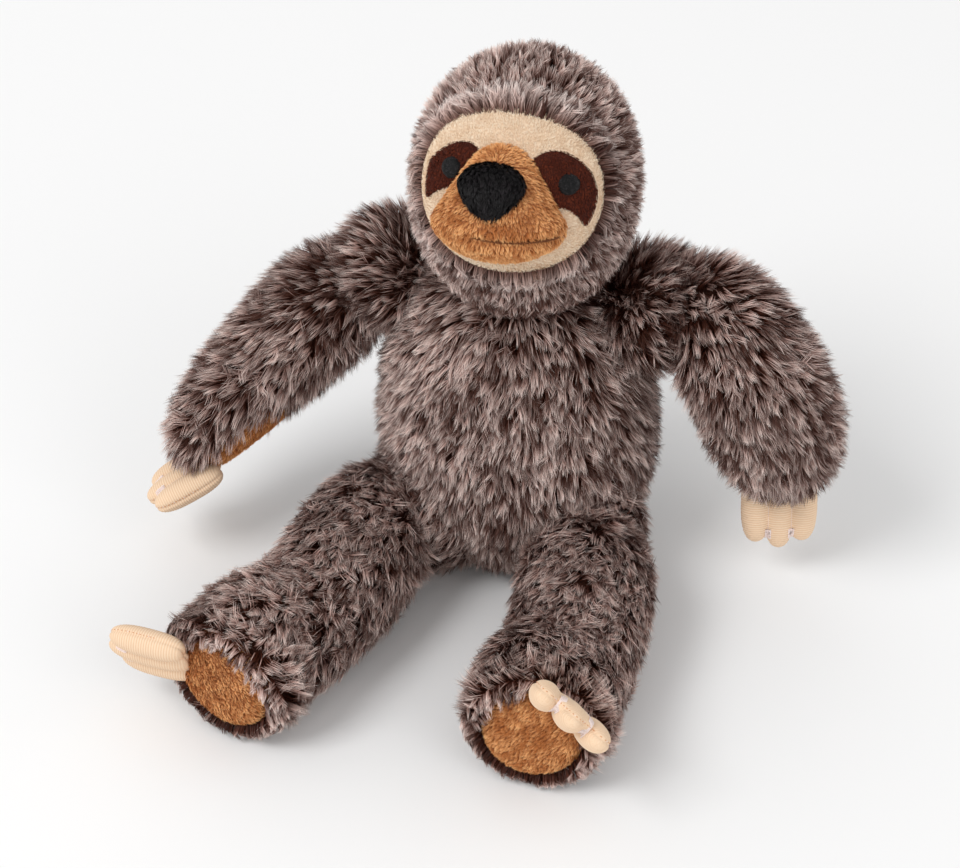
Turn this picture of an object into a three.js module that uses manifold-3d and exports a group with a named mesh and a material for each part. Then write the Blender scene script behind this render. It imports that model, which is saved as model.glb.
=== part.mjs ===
// A long-haired plush sloth that sits on the floor with its legs out in front of it.
// Millimetres, +Z up. It faces -Y, its own left side is +X, and the origin is on the floor under its seat.
// The covers are drawn at the middle of their hair, so the hair itself is left out.
import * as THREE from 'three';
import { mergeVertices } from 'three/addons/utils/BufferGeometryUtils.js';
import Module from 'manifold-3d';

const wasm = await Module();
wasm.setup();

// Fits
const SEAM_GAP = 0.3;
const SWEEP_MARGIN = 2.2;
const REST_FLAT = 0.5;
const SEAT_SINK = 2.5;
const COVER_THICKNESS = 5;
const PATCH_THICKNESS = 1.4;

// Torso, stations from the seat to the neck
const TORSO_HEIGHT = 154;
const TORSO_WIDTH = 112;
const TORSO_DEPTH = 92;
const TORSO_WIDTH_SHARES = [0.9, 0.98, 1, 0.96, 0.86, 0.74];
const TORSO_DEPTH_SHARES = [0.92, 1, 1, 0.97, 0.93, 0.9];
const TORSO_BLUNT = [3, 2.6];

// Head
const HEAD_WIDTH = 88;
const HEAD_DEPTH = 94;
const HEAD_HEIGHT = 108;
const HEAD_SINK = 28;
const HEAD_ASIDE = 2;
// The top of the head, which sinks into the torso's dome by its chin
const HEAD_TOP = TORSO_HEIGHT - HEAD_SINK + HEAD_HEIGHT;
const HEAD_BLUNT = [2.1, 2.2];
const NECK_OPENING = 38;
const LIMB_OPENING = 20;
const FACE_PITCH = 28;
const FACE_YAW = 7;

// Face, measured from the middle of the head along the face's own axes
const FACE_ASIDE = 1;
const FACE_WIDTH = 68;
const FACE_HEIGHT = 65;
const FACE_PUFF = 48;
const FACE_FORWARD = 32;
const FACE_RISE = 3;
const MUZZLE_LENGTH = 42;
const MUZZLE_WIDTH = 52;
const MUZZLE_ASIDE = -0.9;
const MUZZLE_PUFF = 37;
const MUZZLE_FORWARD = 54;
const MUZZLE_DROP = 1.5;
const MUZZLE_WIDTH_SHARES = [0.54, 0.6, 0.78, 1, 0.96];
const MUZZLE_PUFF_SHARES = [0.5, 0.74, 0.94, 1, 0.84];
const NOSE_WIDTH = 24;
const NOSE_HEIGHT = 20;
const NOSE_PUFF = 15;
const NOSE_FORWARD = 68;
const NOSE_RISE = 4;
const NOSE_ASIDE = -2.7;
const NOSE_WIDTH_SHARES = [0.9, 1, 0.8, 0.55];
const MOUTH_WIDTH = 31.5;
const MOUTH_SMILE = 1.6;
const MOUTH_TILT = 1;
const MOUTH_DROP = 13.4;
const MOUTH_ASIDE = 7.7;
const MOUTH_THREAD = 1.1;
const EYE_SPREAD = 43.2;
const EYE_RISE = 8.5;
const EYES_TILT = 1.2;
const EYES_ASIDE = 1.7;
const EYE_DIAMETER = 8;
const EYE_THICKNESS = 1;
const EYE_PATCH_WIDTH = 25;
const EYE_PATCH_HEIGHT = 28;
// Outline of each patch about its eye: x outward, then z up
const EYE_PATCH_SHARES = {
  left: [
    [-0.55, 0.28], [-0.4, 0.4], [-0.2, 0.43], [0.07, 0.34], [0.29, 0.16], [0.4, -0.1], [0.38, -0.36],
    [0.28, -0.56], [0.18, -0.44], [0, -0.33], [-0.2, -0.3], [-0.33, -0.12], [-0.44, 0.12],
  ],
  right: [
    [-0.42, 0.22], [-0.33, 0.32], [-0.22, 0.36], [0.02, 0.32], [0.22, 0.2], [0.38, 0.04], [0.42, -0.12],
    [0.4, -0.46], [0.25, -0.36], [0.05, -0.26], [-0.1, -0.22], [-0.26, -0.06], [-0.36, 0.1],
  ],
};

// Arms: each route runs from the shoulder to the hand's end, as shares of the arm's length
const ARM_LENGTH = 130;
const SHOULDER_SPREAD = 108;
const SHOULDER_BACK = 4;
const SHOULDER_HEIGHT = 127;
const SHOULDER_OFFSET = 3;
const SHOULDER_BALL = 48;
const ARM_WIDTH = 52;
const ARM_DEPTH = 50;
const ARM_BLUNT = [2.4, 3];
const ARM_SWING_REACH = [-30, 75];
const PALM_LENGTH = 42;
const PALM_WIDTH = 22;
const PALM_BACK = 24;

// Legs: each route runs from the hip to the sole, as shares of the leg's length
const LEG_LENGTH = 132;
const HIP_SPREAD = 60;
const HIP_FORWARD = 22;
const HIP_BALL = 58;
const LEG_WIDTH = 60;
const LEG_BLUNT = [2.4, 5];
const LEG_WIDTH_SHARES = [1, 0.98, 0.92, 0.88, 0.97, 1.07];
const LEG_LIFT_REACH = [-35, 20];
const SOLE_WIDTH = 38;
const SOLE_LENGTH = 42;
const SOLE_DROP = 4;

// Claw mitts: three stitched fingers of ribbed knit side by side
const CLAW_LENGTH = 31;
const CLAW_MIDDLE_EXTRA = 3;
const CLAW_WIDTH = 11.5;
const CLAW_THICKNESS = 9;
const CLAW_PITCH = 9.6;
const CLAW_BLUNT = [3, 2.4];
const HAND_FLAP_REACH = [-20, 20];
const FOOT_FLAP_REACH = [-10, 25];
const CLAW_SINK = 6;
const CLAWS = 3;
const TACK_LENGTH = 5;
const TACK_WIDTH = 3;
const TACK_BACK = 1.5;

// Facets
const BODY_FACETS = [22, 14];
const LIMB_FACETS = [14, 13];
const INNER_FACETS = [10, 8];
const SWEEP_FACETS = [14, 10];
const BALL_FACETS = [16, 8];
const FACE_FACETS = [16, 10];
const SMALL_FACETS = [8, 6];
const PATCH_FACETS = 14;
const SWEEP_STEP = 20;

const UP = new THREE.Vector3(0, 0, 1);
const SIDE = new THREE.Vector3(1, 0, 0);
const BACK = new THREE.Vector3(0, 1, 0);
// About this axis a positive turn swings a hanging arm forward and lifts a stretched leg
const SWING = new THREE.Vector3(-1, 0, 0);

// The middle of the head, the neck's pivot, and the frame of the face
const headMiddle = new THREE.Vector3(0, 0, HEAD_TOP - HEAD_HEIGHT / 2);
const neckPivot = new THREE.Vector3(0, 0, TORSO_HEIGHT);
const faceFrame = new THREE.Matrix4()
  .makeRotationZ(THREE.MathUtils.degToRad(FACE_YAW))
  .multiply(new THREE.Matrix4().makeRotationX(THREE.MathUtils.degToRad(-FACE_PITCH)))
  .setPosition(headMiddle);

// The two arms and the two legs. Side 1 is the toy's own left, which is +X.
const arms = [
  {
    name: 'left', side: 1, rise: SHOULDER_OFFSET / 2,
    routeShares: [[0, 0, 0], [0.16, -0.02, 0.02], [0.31, -0.05, -0.14], [0.37, -0.04, -0.27],
      [0.41, -0.02, -0.4], [0.43, 0.01, -0.53], [0.43, 0.03, -0.66]],
    widthShares: [0.94, 1, 1, 1, 1, 0.98, 0.9],
    depthShares: [0.96, 1, 0.98, 0.92, 0.84, 0.76, 0.7],
    palm: [-0.3, 0.95, 0], claws: [0.1, -0.27, -0.95], clawsAcross: [0.95, 0.3, 0],
    clawsIn: 0, fan: 0,
  },
  {
    name: 'right', side: -1, rise: -SHOULDER_OFFSET / 2,
    routeShares: [[0, 0, 0], [0.17, -0.07, -0.1], [0.32, -0.15, -0.26], [0.45, -0.23, -0.41],
      [0.53, -0.29, -0.52], [0.59, -0.34, -0.64]],
    widthShares: [0.94, 1, 1, 1, 1, 0.94],
    depthShares: [0.96, 0.98, 0.9, 0.8, 0.72, 0.66],
    palm: [0.88, -0.17, -0.23], claws: [-0.72, -0.45, -0.4], clawsAcross: [0.4, -0.7, 0.2],
    clawsIn: 0.3, fan: 0,
  },
];
const legs = [
  {
    name: 'left', side: 1,
    routeShares: [[0, 0], [0.09, -0.2], [0.12, -0.38], [0.13, -0.56], [0.11, -0.74], [0.11, -0.9]],
    sole: [0.05, -0.99, -0.05], toe: [0.62, 0.03, 0.76],
    claws: [0.27, -0.75, 0.66], clawsAcross: [0.7, 0.1, -0.7], fan: 0.12,
  },
  {
    name: 'right', side: -1,
    routeShares: [[0, 0], [0.13, -0.15], [0.17, -0.35], [0.21, -0.55], [0.31, -0.77], [0.37, -0.95]],
    sole: [-0.2, -0.97, -0.08], toe: [-0.92, 0.14, 0.2],
    claws: [-1, 0.07, 0], clawsAcross: [0.05, -0.4, 0.91], fan: 0,
  },
];

/** Turns a closed geometry into a solid that can be cut and joined. */
function solidOf(geometry) {
  const bare = new THREE.BufferGeometry();
  bare.setAttribute('position', geometry.getAttribute('position'));
  bare.setIndex(geometry.getIndex());
  const merged = mergeVertices(bare);
  return new wasm.Manifold(new wasm.Mesh({
    numProp: 3,
    vertProperties: new Float32Array(merged.getAttribute('position').array),
    triVerts: new Uint32Array(merged.getIndex().array),
  }));
}

/** Turns a solid back into a geometry, seen from a frame that has the given place and turn. */
function geometryOf(solid, frame) {
  const { vertProperties, triVerts } = solid.getMesh();
  const geometry = new THREE.BufferGeometry();
  geometry.setAttribute('position', new THREE.BufferAttribute(new Float32Array(vertProperties), 3));
  geometry.setIndex(new THREE.BufferAttribute(new Uint32Array(triVerts), 1));
  geometry.applyMatrix4(frame.clone().invert());
  geometry.computeVertexNormals();
  return geometry;
}

/** A row of sizes that follow one size by shares, read at any place from 0 to 1 on a smooth curve. */
function sizesAlong(size, shares) {
  const stations = shares.map((share) => new THREE.Vector3(share, 0, 0));
  const curve = new THREE.CatmullRomCurve3(stations);
  return (place) => curve.getPoint(place).x * size / 2;
}

/** A stuffed form. The poles of a sphere become the ends of a route, and its parallels become rings
 *  that swell and taper along it. Blunt gives how squarely each end closes, 2 being round. */
function stuffedForm({ route, halfAcross, halfDeep, deepAxis, blunt, facets, grow = 0 }) {
  const sphere = new THREE.SphereGeometry(1, facets[0], facets[1]);
  sphere.deleteAttribute('normal');
  sphere.deleteAttribute('uv');
  const geometry = mergeVertices(sphere);
  const points = geometry.getAttribute('position');
  const unit = new THREE.Vector3();
  for (let i = 0; i < points.count; i += 1) {
    unit.fromBufferAttribute(points, i);
    const square = unit.y > 0 ? blunt[0] : blunt[1];
    const reach = Math.sign(unit.y) * Math.abs(unit.y) ** (2 / square);
    const round = Math.hypot(unit.x, unit.z);
    const swell = round > 0 ? round ** (2 / square) / round : 0;
    const place = THREE.MathUtils.clamp((1 - reach) / 2, 0, 1);
    const along = route.getTangentAt(place);
    const deep = deepAxis.clone().addScaledVector(along, -deepAxis.dot(along)).normalize();
    const across = deep.clone().cross(along);
    const point = route.getPointAt(place)
      .addScaledVector(across, unit.x * swell * halfAcross(place))
      .addScaledVector(deep, unit.z * swell * halfDeep(place));
    points.setXYZ(i, point.x, point.y, point.z);
  }
  if (grow !== 0) growBy(geometry, grow);
  return solidOf(geometry);
}

/** Moves every point of a closed geometry out along its normal, or in where the step is negative. */
function growBy(geometry, step) {
  geometry.computeVertexNormals();
  const points = geometry.getAttribute('position');
  const normals = geometry.getAttribute('normal');
  for (let i = 0; i < points.count; i += 1) {
    points.setXYZ(
      i,
      points.getX(i) + normals.getX(i) * step,
      points.getY(i) + normals.getY(i) * step,
      points.getZ(i) + normals.getZ(i) * step,
    );
  }
}

/** A ball whose poles lie on the X axis, so that it can turn about X in a seat with the same facets. */
function ball(middle, diameter, facets = BALL_FACETS) {
  const geometry = new THREE.SphereGeometry(diameter / 2, facets[0], facets[1]);
  geometry.rotateZ(Math.PI / 2);
  geometry.translate(middle.x, middle.y, middle.z);
  return solidOf(geometry);
}

/** The seat of a ball, whose flats stay clear of the ball by the seam gap however it turns. */
function ballSeat(middle, diameter, facets = BALL_FACETS) {
  return ball(middle, (diameter + 2 * SEAM_GAP) / Math.cos(Math.PI / facets[0]), facets);
}

/** The half space below the floor, as a block wide enough for the whole toy. */
function belowFloor() {
  const reach = 2 * (HEAD_TOP + LEG_LENGTH + ARM_LENGTH);
  const block = new THREE.BoxGeometry(reach, reach, reach);
  block.translate(0, 0, -reach / 2);
  return solidOf(block);
}

/** The half of space on one side of the toy's middle plane, which the other side's leg keeps out of. */
function sideBlock(side, grow) {
  const reach = 2 * (HEAD_TOP + LEG_LENGTH + ARM_LENGTH);
  const block = new THREE.BoxGeometry(reach, reach, reach);
  block.translate(side * (reach / 2 - SEAM_GAP / 2 - grow), 0, 0);
  return solidOf(block);
}

/** A round opening of a cover, from a point along a direction. */
function openingAlong(start, direction, diameter, length) {
  const bore = new THREE.CylinderGeometry(diameter / 2, diameter / 2, length, PATCH_FACETS);
  bore.translate(0, length / 2, 0);
  bore.applyQuaternion(new THREE.Quaternion().setFromUnitVectors(BACK, direction.clone().normalize()));
  bore.translate(start.x, start.y, start.z);
  return solidOf(bore);
}

/** Cuts a moving solid by its neighbour in every position between the two limits of their joint. */
function clearedOf(moving, neighbour, pivot, axis, [low, high]) {
  const steps = Math.ceil((high - low) / SWEEP_STEP);
  let cleared = moving;
  for (let step = 0; step <= steps; step += 1) {
    const angle = THREE.MathUtils.degToRad(-(low + ((high - low) * step) / steps));
    const turn = new THREE.Matrix4().makeTranslation(pivot.x, pivot.y, pivot.z)
      .multiply(new THREE.Matrix4().makeRotationAxis(axis, angle))
      .multiply(new THREE.Matrix4().makeTranslation(-pivot.x, -pivot.y, -pivot.z));
    cleared = cleared.subtract(neighbour.transform(turn.toArray()));
  }
  return cleared;
}

/** The outline of an oval, or of any shape given as shares of a width and a height. */
function ovalOutline(width, height) {
  const points = [];
  for (let i = 0; i < PATCH_FACETS; i += 1) {
    const angle = (i / PATCH_FACETS) * 2 * Math.PI;
    points.push(new THREE.Vector2(Math.cos(angle) * width / 2, Math.sin(angle) * height / 2));
  }
  return new THREE.Shape(points);
}

/** A prism that stands on an outline: the outline's x runs along across, its y along up, and the
 *  prism reaches the given length from its place. */
function prismOn(outline, place, across, up, length) {
  const prism = new THREE.ExtrudeGeometry(outline, { depth: length, bevelEnabled: false });
  const out = across.clone().cross(up);
  prism.applyMatrix4(new THREE.Matrix4().makeBasis(across, up, out).setPosition(place));
  return solidOf(prism);
}

/** The piece with the most volume, where a cut leaves crumbs beside it. */
function mainPiece(solid) {
  return solid.decompose().reduce((best, piece) => (piece.volume() > best.volume() ? piece : best));
}

/** A patch that lies on a form: the layer between two growths of the form, inside a prism. */
function patchOn(form, prism, thickness, lift = SEAM_GAP) {
  return mainPiece(form(lift + thickness).subtract(form(lift)).intersect(prism));
}

/** The torso swells from the seat to the belly and closes in a dome that is round at the neck. */
function torsoForm(grow = 0, facets = BODY_FACETS) {
  return stuffedForm({
    route: new THREE.LineCurve3(UP.clone().multiplyScalar(-SEAT_SINK), neckPivot),
    halfAcross: sizesAlong(TORSO_WIDTH, TORSO_WIDTH_SHARES),
    halfDeep: sizesAlong(TORSO_DEPTH, TORSO_DEPTH_SHARES),
    deepAxis: BACK,
    blunt: TORSO_BLUNT,
    facets,
    grow,
  });
}

/** What a limb keeps clear of, with room for its facets, and further in for its hollow. */
function torsoInTheWay(depth) {
  return torsoForm(SEAM_GAP + SWEEP_MARGIN + depth, SWEEP_FACETS);
}

/** The dome that the head turns on: as wide as the torso all round. */
function neckDome() {
  return stuffedForm({
    route: new THREE.LineCurve3(UP.clone().multiplyScalar(-SEAT_SINK), neckPivot),
    halfAcross: sizesAlong(TORSO_WIDTH, TORSO_WIDTH_SHARES),
    halfDeep: sizesAlong(TORSO_WIDTH, TORSO_WIDTH_SHARES),
    deepAxis: BACK,
    blunt: TORSO_BLUNT,
    facets: BODY_FACETS,
    grow: 2 * SEAM_GAP,
  });
}

function headForm(grow = 0, facets = BODY_FACETS) {
  return stuffedForm({
    route: new THREE.LineCurve3(
      new THREE.Vector3(HEAD_ASIDE, 0, HEAD_TOP - HEAD_HEIGHT),
      new THREE.Vector3(HEAD_ASIDE, 0, HEAD_TOP),
    ),
    halfAcross: () => HEAD_WIDTH / 2,
    halfDeep: () => HEAD_DEPTH / 2,
    deepAxis: BACK,
    blunt: HEAD_BLUNT,
    facets,
    grow,
  });
}

/** A rounded form of the face, whose route runs down the face from above its middle. */
function faceForm(shape) {
  const { aside, forward, rise, width, height, puff, widthShares, puffShares, blunt, grow, facets } = shape;
  const top = new THREE.Vector3(aside, -forward, rise + height / 2).applyMatrix4(faceFrame);
  const bottom = new THREE.Vector3(aside, -forward, rise - height / 2).applyMatrix4(faceFrame);
  return stuffedForm({
    route: new THREE.LineCurve3(top, bottom),
    halfAcross: sizesAlong(width, widthShares),
    halfDeep: sizesAlong(puff, puffShares),
    deepAxis: faceAxis(0, -1, 0),
    blunt,
    facets,
    grow,
  });
}

/** A direction of the face's own frame, in the toy's frame. */
function faceAxis(x, y, z) {
  return new THREE.Vector3(x, y, z).transformDirection(faceFrame);
}

function facePanelForm(grow = 0) {
  return faceForm({
    aside: FACE_ASIDE, forward: FACE_FORWARD, rise: FACE_RISE,
    width: FACE_WIDTH, height: FACE_HEIGHT, puff: FACE_PUFF,
    widthShares: [1, 1], puffShares: [1, 1], blunt: [2.1, 2.1], grow, facets: FACE_FACETS,
  });
}

function muzzleForm(grow = 0) {
  return faceForm({
    aside: MUZZLE_ASIDE, forward: MUZZLE_FORWARD, rise: -MUZZLE_DROP,
    width: MUZZLE_WIDTH, height: MUZZLE_LENGTH, puff: MUZZLE_PUFF,
    widthShares: MUZZLE_WIDTH_SHARES, puffShares: MUZZLE_PUFF_SHARES,
    blunt: [2.2, 2.2], grow, facets: FACE_FACETS,
  });
}

function noseForm() {
  return faceForm({
    aside: NOSE_ASIDE, forward: NOSE_FORWARD, rise: NOSE_RISE,
    width: NOSE_WIDTH, height: NOSE_HEIGHT, puff: NOSE_PUFF,
    widthShares: NOSE_WIDTH_SHARES, puffShares: [1, 1, 0.9, 0.8],
    blunt: [2.6, 2.2], grow: 0, facets: SMALL_FACETS,
  });
}

/** A prism that comes out of the face on an outline set at a place of the face, from a depth on. */
function facePrism(outline, x, z, from = FACE_FORWARD) {
  const reach = MUZZLE_FORWARD + MUZZLE_PUFF;
  const place = new THREE.Vector3(x, -from, z).applyMatrix4(faceFrame);
  return prismOn(outline, place, faceAxis(1, 0, 0), faceAxis(0, 0, 1), reach);
}

function eyePatchOutline(name, side) {
  const corners = EYE_PATCH_SHARES[name].map(([x, z]) => (
    new THREE.Vector2(side * x * EYE_PATCH_WIDTH, z * EYE_PATCH_HEIGHT)));
  return new THREE.Shape(new THREE.SplineCurve([...corners, corners[0]]).getPoints(PATCH_FACETS));
}

function mouthOutline() {
  const half = MOUTH_WIDTH / 2;
  const smile = (lift) => [-1, -0.5, 0, 0.5, 1].map((share) => (
    new THREE.Vector2(share * half, MOUTH_SMILE * share * share + MOUTH_TILT * share + lift)));
  return new THREE.Shape([...smile(-MOUTH_THREAD / 2), ...smile(MOUTH_THREAD / 2).reverse()]);
}

/** The place of the pivot and the route of an arm. */
function armRoute(arm) {
  const shoulder = new THREE.Vector3(
    arm.side * SHOULDER_SPREAD / 2,
    SHOULDER_BACK,
    SHOULDER_HEIGHT + arm.rise,
  );
  const route = new THREE.CatmullRomCurve3(arm.routeShares.map(([out, back, rise]) => (
    new THREE.Vector3(arm.side * out, back, rise).multiplyScalar(ARM_LENGTH).add(shoulder))));
  return { pivot: shoulder, route };
}

/** The place of the pivot and the route of a leg, which lies on the floor along its whole length. */
function legRoute(leg) {
  const half = sizesAlong(LEG_WIDTH, LEG_WIDTH_SHARES);
  const last = leg.routeShares.length - 1;
  const route = new THREE.CatmullRomCurve3(leg.routeShares.map(([out, back], i) => new THREE.Vector3(
    leg.side * (HIP_SPREAD / 2 + out * LEG_LENGTH),
    back * LEG_LENGTH - HIP_FORWARD,
    half(i / last) - REST_FLAT,
  )));
  const pivot = new THREE.Vector3(leg.side * HIP_SPREAD / 2, -HIP_FORWARD, HIP_BALL / 2 + SEAM_GAP);
  return { pivot, route };
}

function armForm(arm, grow = 0, facets = LIMB_FACETS) {
  return stuffedForm({
    route: armRoute(arm).route,
    halfAcross: sizesAlong(ARM_WIDTH, arm.widthShares),
    halfDeep: sizesAlong(ARM_DEPTH, arm.depthShares),
    deepAxis: new THREE.Vector3(...arm.palm).normalize(),
    blunt: ARM_BLUNT,
    facets,
    grow,
  });
}

function legForm(leg, grow = 0, facets = LIMB_FACETS) {
  const half = sizesAlong(LEG_WIDTH, LEG_WIDTH_SHARES);
  return stuffedForm({
    route: legRoute(leg).route,
    halfAcross: half,
    halfDeep: half,
    deepAxis: UP,
    blunt: LEG_BLUNT,
    facets,
    grow,
  });
}

/** Three fingers of one mitt, side by side along its root line. The outer two fan out by a share. */
function mittForm({ root, along, axis, fan }, grow = 0) {
  const fingers = [];
  for (let i = 0; i < CLAWS; i += 1) {
    const offset = (i - (CLAWS - 1) / 2) * CLAW_PITCH;
    const length = CLAW_LENGTH + (offset === 0 ? CLAW_MIDDLE_EXTRA : 0);
    const start = root.clone().addScaledVector(axis, offset);
    const aim = along.clone().addScaledVector(axis, fan * Math.sign(offset)).normalize();
    fingers.push(stuffedForm({
      route: new THREE.LineCurve3(start, start.clone().addScaledVector(aim, length)),
      halfAcross: () => CLAW_WIDTH / 2,
      halfDeep: () => CLAW_THICKNESS / 2,
      deepAxis: along.clone().cross(axis),
      blunt: CLAW_BLUNT,
      facets: SMALL_FACETS,
      grow,
    }));
  }
  return fingers.reduce((mitt, finger) => mitt.add(finger));
}

/** The white bar of thread that ties two fingers together in the notch between their tips. */
function tackOn(mitt, notch) {
  const { root, along, axis, fan } = mitt;
  const reach = CLAW_LENGTH - TACK_BACK;
  const offset = (notch - (CLAWS - 2) / 2) * (CLAW_PITCH + fan * reach);
  const middle = root.clone().addScaledVector(axis, offset).addScaledVector(along, reach);
  const block = new THREE.BoxGeometry(TACK_WIDTH, TACK_LENGTH, CLAW_THICKNESS / 2);
  block.applyMatrix4(new THREE.Matrix4().makeBasis(axis, along, axis.clone().cross(along)).setPosition(middle));
  return mainPiece(solidOf(block).subtract(mittForm(mitt, SEAM_GAP)));
}

const materials = {
  darkFur: new THREE.MeshStandardMaterial({ color: 0x5e4b47, roughness: 0.95, metalness: 0 }),
  paleFur: new THREE.MeshStandardMaterial({ color: 0x8a7770, roughness: 0.95, metalness: 0 }),
  fibre: new THREE.MeshStandardMaterial({ color: 0xf2f0ea, roughness: 1, metalness: 0 }),
  cream: new THREE.MeshStandardMaterial({ color: 0xe3c9ad, roughness: 0.9, metalness: 0 }),
  tan: new THREE.MeshStandardMaterial({ color: 0xa56d43, roughness: 0.9, metalness: 0 }),
  russet: new THREE.MeshStandardMaterial({ color: 0x4a1f14, roughness: 0.85, metalness: 0 }),
  black: new THREE.MeshStandardMaterial({ color: 0x141214, roughness: 0.9, metalness: 0 }),
  knit: new THREE.MeshStandardMaterial({ color: 0xefcfae, roughness: 0.85, metalness: 0 }),
  thread: new THREE.MeshStandardMaterial({ color: 0xf1e2df, roughness: 0.7, metalness: 0 }),
};

const sloth = new THREE.Group();
sloth.name = 'plush_sloth';

/** A group at a pivot, so that what turns together sits in one frame. */
function groupAt(pivot, parent = sloth) {
  const group = new THREE.Group();
  parent.add(group);
  parent.updateWorldMatrix(true, false);
  group.position.copy(pivot).applyMatrix4(parent.matrixWorld.clone().invert());
  group.updateWorldMatrix(true, false);
  return group;
}

function addPiece(group, name, solid, material) {
  const mesh = new THREE.Mesh(geometryOf(solid, group.matrixWorld), material);
  mesh.name = name;
  group.add(mesh);
}

const floor = belowFloor();

/** The torso hollowed for its filling, with the seats of its limbs and an open neck. */
function buildTorso() {
  const seats = [
    ...arms.map((arm) => [armRoute(arm).pivot, SHOULDER_BALL]),
    ...legs.map((leg) => [legRoute(leg).pivot, HIP_BALL]),
  ];
  const inside = (depth) => seats.reduce(
    (solid, [pivot, diameter]) => solid.subtract(ballSeat(pivot, diameter + 2 * depth, INNER_FACETS)),
    torsoForm(-depth, INNER_FACETS),
  );
  const neckStart = neckPivot.clone().addScaledVector(UP, -2 * COVER_THICKNESS);
  const neck = openingAlong(neckStart, UP, NECK_OPENING, 4 * COVER_THICKNESS);
  let cover = torsoForm().subtract(floor).subtract(inside(COVER_THICKNESS)).subtract(neck);
  for (const [pivot, diameter] of seats) cover = cover.subtract(ballSeat(pivot, diameter));
  const group = groupAt(new THREE.Vector3());
  addPiece(group, 'torso_cover', mainPiece(cover), materials.paleFur);
  addPiece(group, 'torso_fill', mainPiece(inside(COVER_THICKNESS + SEAM_GAP)), materials.fibre);
}

/** The head sits open on the torso and turns about the vertical, so its seat is cut round. */
function buildHead() {
  const dome = neckDome();
  const cover = headForm().subtract(dome).subtract(headForm(-COVER_THICKNESS, INNER_FACETS));
  const fill = headForm(-COVER_THICKNESS - SEAM_GAP, INNER_FACETS).subtract(dome);
  const group = groupAt(neckPivot);
  addPiece(group, 'head_cover', mainPiece(cover), materials.darkFur);
  addPiece(group, 'head_fill', mainPiece(fill), materials.fibre);
  return group;
}

/** The panel, muzzle, nose, mouth, eye patches and eyes, each lying on what it is sewn to. */
function buildFace(group) {
  const head = headForm(SEAM_GAP);
  const panel = mainPiece(facePanelForm().subtract(head));
  const muzzle = mainPiece(muzzleForm().subtract(head).subtract(facePanelForm(SEAM_GAP)));
  addPiece(group, 'face_panel', panel, materials.cream);
  addPiece(group, 'muzzle', muzzle, materials.tan);
  addPiece(group, 'nose', mainPiece(noseForm().subtract(muzzleForm(SEAM_GAP))), materials.black);
  const mouthPrism = facePrism(mouthOutline(), MOUTH_ASIDE, -MOUTH_DROP, MUZZLE_FORWARD);
  const mouth = patchOn(muzzleForm, mouthPrism, MOUTH_THREAD);
  addPiece(group, 'mouth_seam', mouth, materials.russet);
  for (const { name, side } of arms) {
    const x = side * EYE_SPREAD / 2 + EYES_ASIDE;
    const z = EYE_RISE - side * EYES_TILT;
    const patch = patchOn(facePanelForm, facePrism(eyePatchOutline(name, side), x, z), PATCH_THICKNESS)
      .subtract(muzzleForm(SEAM_GAP))
      .subtract(head);
    const eyeLift = PATCH_THICKNESS + 2 * SEAM_GAP;
    const eyePrism = facePrism(ovalOutline(EYE_DIAMETER, EYE_DIAMETER), x, z);
    addPiece(group, `eye_patch_${name}`, mainPiece(patch), materials.russet);
    addPiece(group, `eye_${name}`, patchOn(facePanelForm, eyePrism, EYE_THICKNESS, eyeLift), materials.black);
  }
}

/** The mitt of one limb with its two tacks, hinged on the line where it is sewn to the limb. */
function buildMitt(limbGroup, label, limbGrown, mitt) {
  const { root, axis, reach } = mitt;
  const group = groupAt(root, limbGroup);
  const cleared = (solid) => mainPiece(clearedOf(solid, limbGrown, root, axis, reach));
  addPiece(group, `claws_${label}`, cleared(mittForm(mitt)), materials.knit);
  for (let notch = 0; notch < CLAWS - 1; notch += 1) {
    addPiece(group, `tack_${label}_${notch + 1}`, cleared(tackOn(mitt, notch)), materials.thread);
  }
}

/** The line that a mitt is hinged on: across its own fingers. */
function mittFrame(claws, clawsAcross) {
  const along = new THREE.Vector3(...claws).normalize();
  const across = new THREE.Vector3(...clawsAcross);
  return { along, axis: across.addScaledVector(along, -across.dot(along)).normalize() };
}

/** The arm's mitt comes out of the end of the hand, towards the palm by a share of the hand's depth. */
function handMitt(arm) {
  const { along, axis } = mittFrame(arm.claws, arm.clawsAcross);
  const palm = new THREE.Vector3(...arm.palm).normalize();
  const root = armRoute(arm).route.getPointAt(1)
    .addScaledVector(palm, arm.clawsIn * ARM_DEPTH / 2)
    .addScaledVector(along, -CLAW_SINK);
  return { root, along, axis, fan: arm.fan, reach: HAND_FLAP_REACH };
}

/** The leg's mitt comes out of the foot at the toe edge of the sole. */
function footMitt(leg) {
  const { along, axis } = mittFrame(leg.claws, leg.clawsAcross);
  const { place, toe } = soleFrame(leg);
  const root = place.addScaledVector(toe, SOLE_LENGTH / 2).addScaledVector(along, -CLAW_SINK);
  return { root, along, axis, fan: leg.fan, reach: FOOT_FLAP_REACH };
}

/** The middle of a sole at the end of its leg, the way it faces, and the way to its toe edge. */
function soleFrame(leg) {
  const out = new THREE.Vector3(...leg.sole).normalize();
  const toe = new THREE.Vector3(...leg.toe);
  toe.addScaledVector(out, -toe.dot(out)).normalize();
  return { place: legRoute(leg).route.getPointAt(1).addScaledVector(UP, -SOLE_DROP), out, toe };
}

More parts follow.
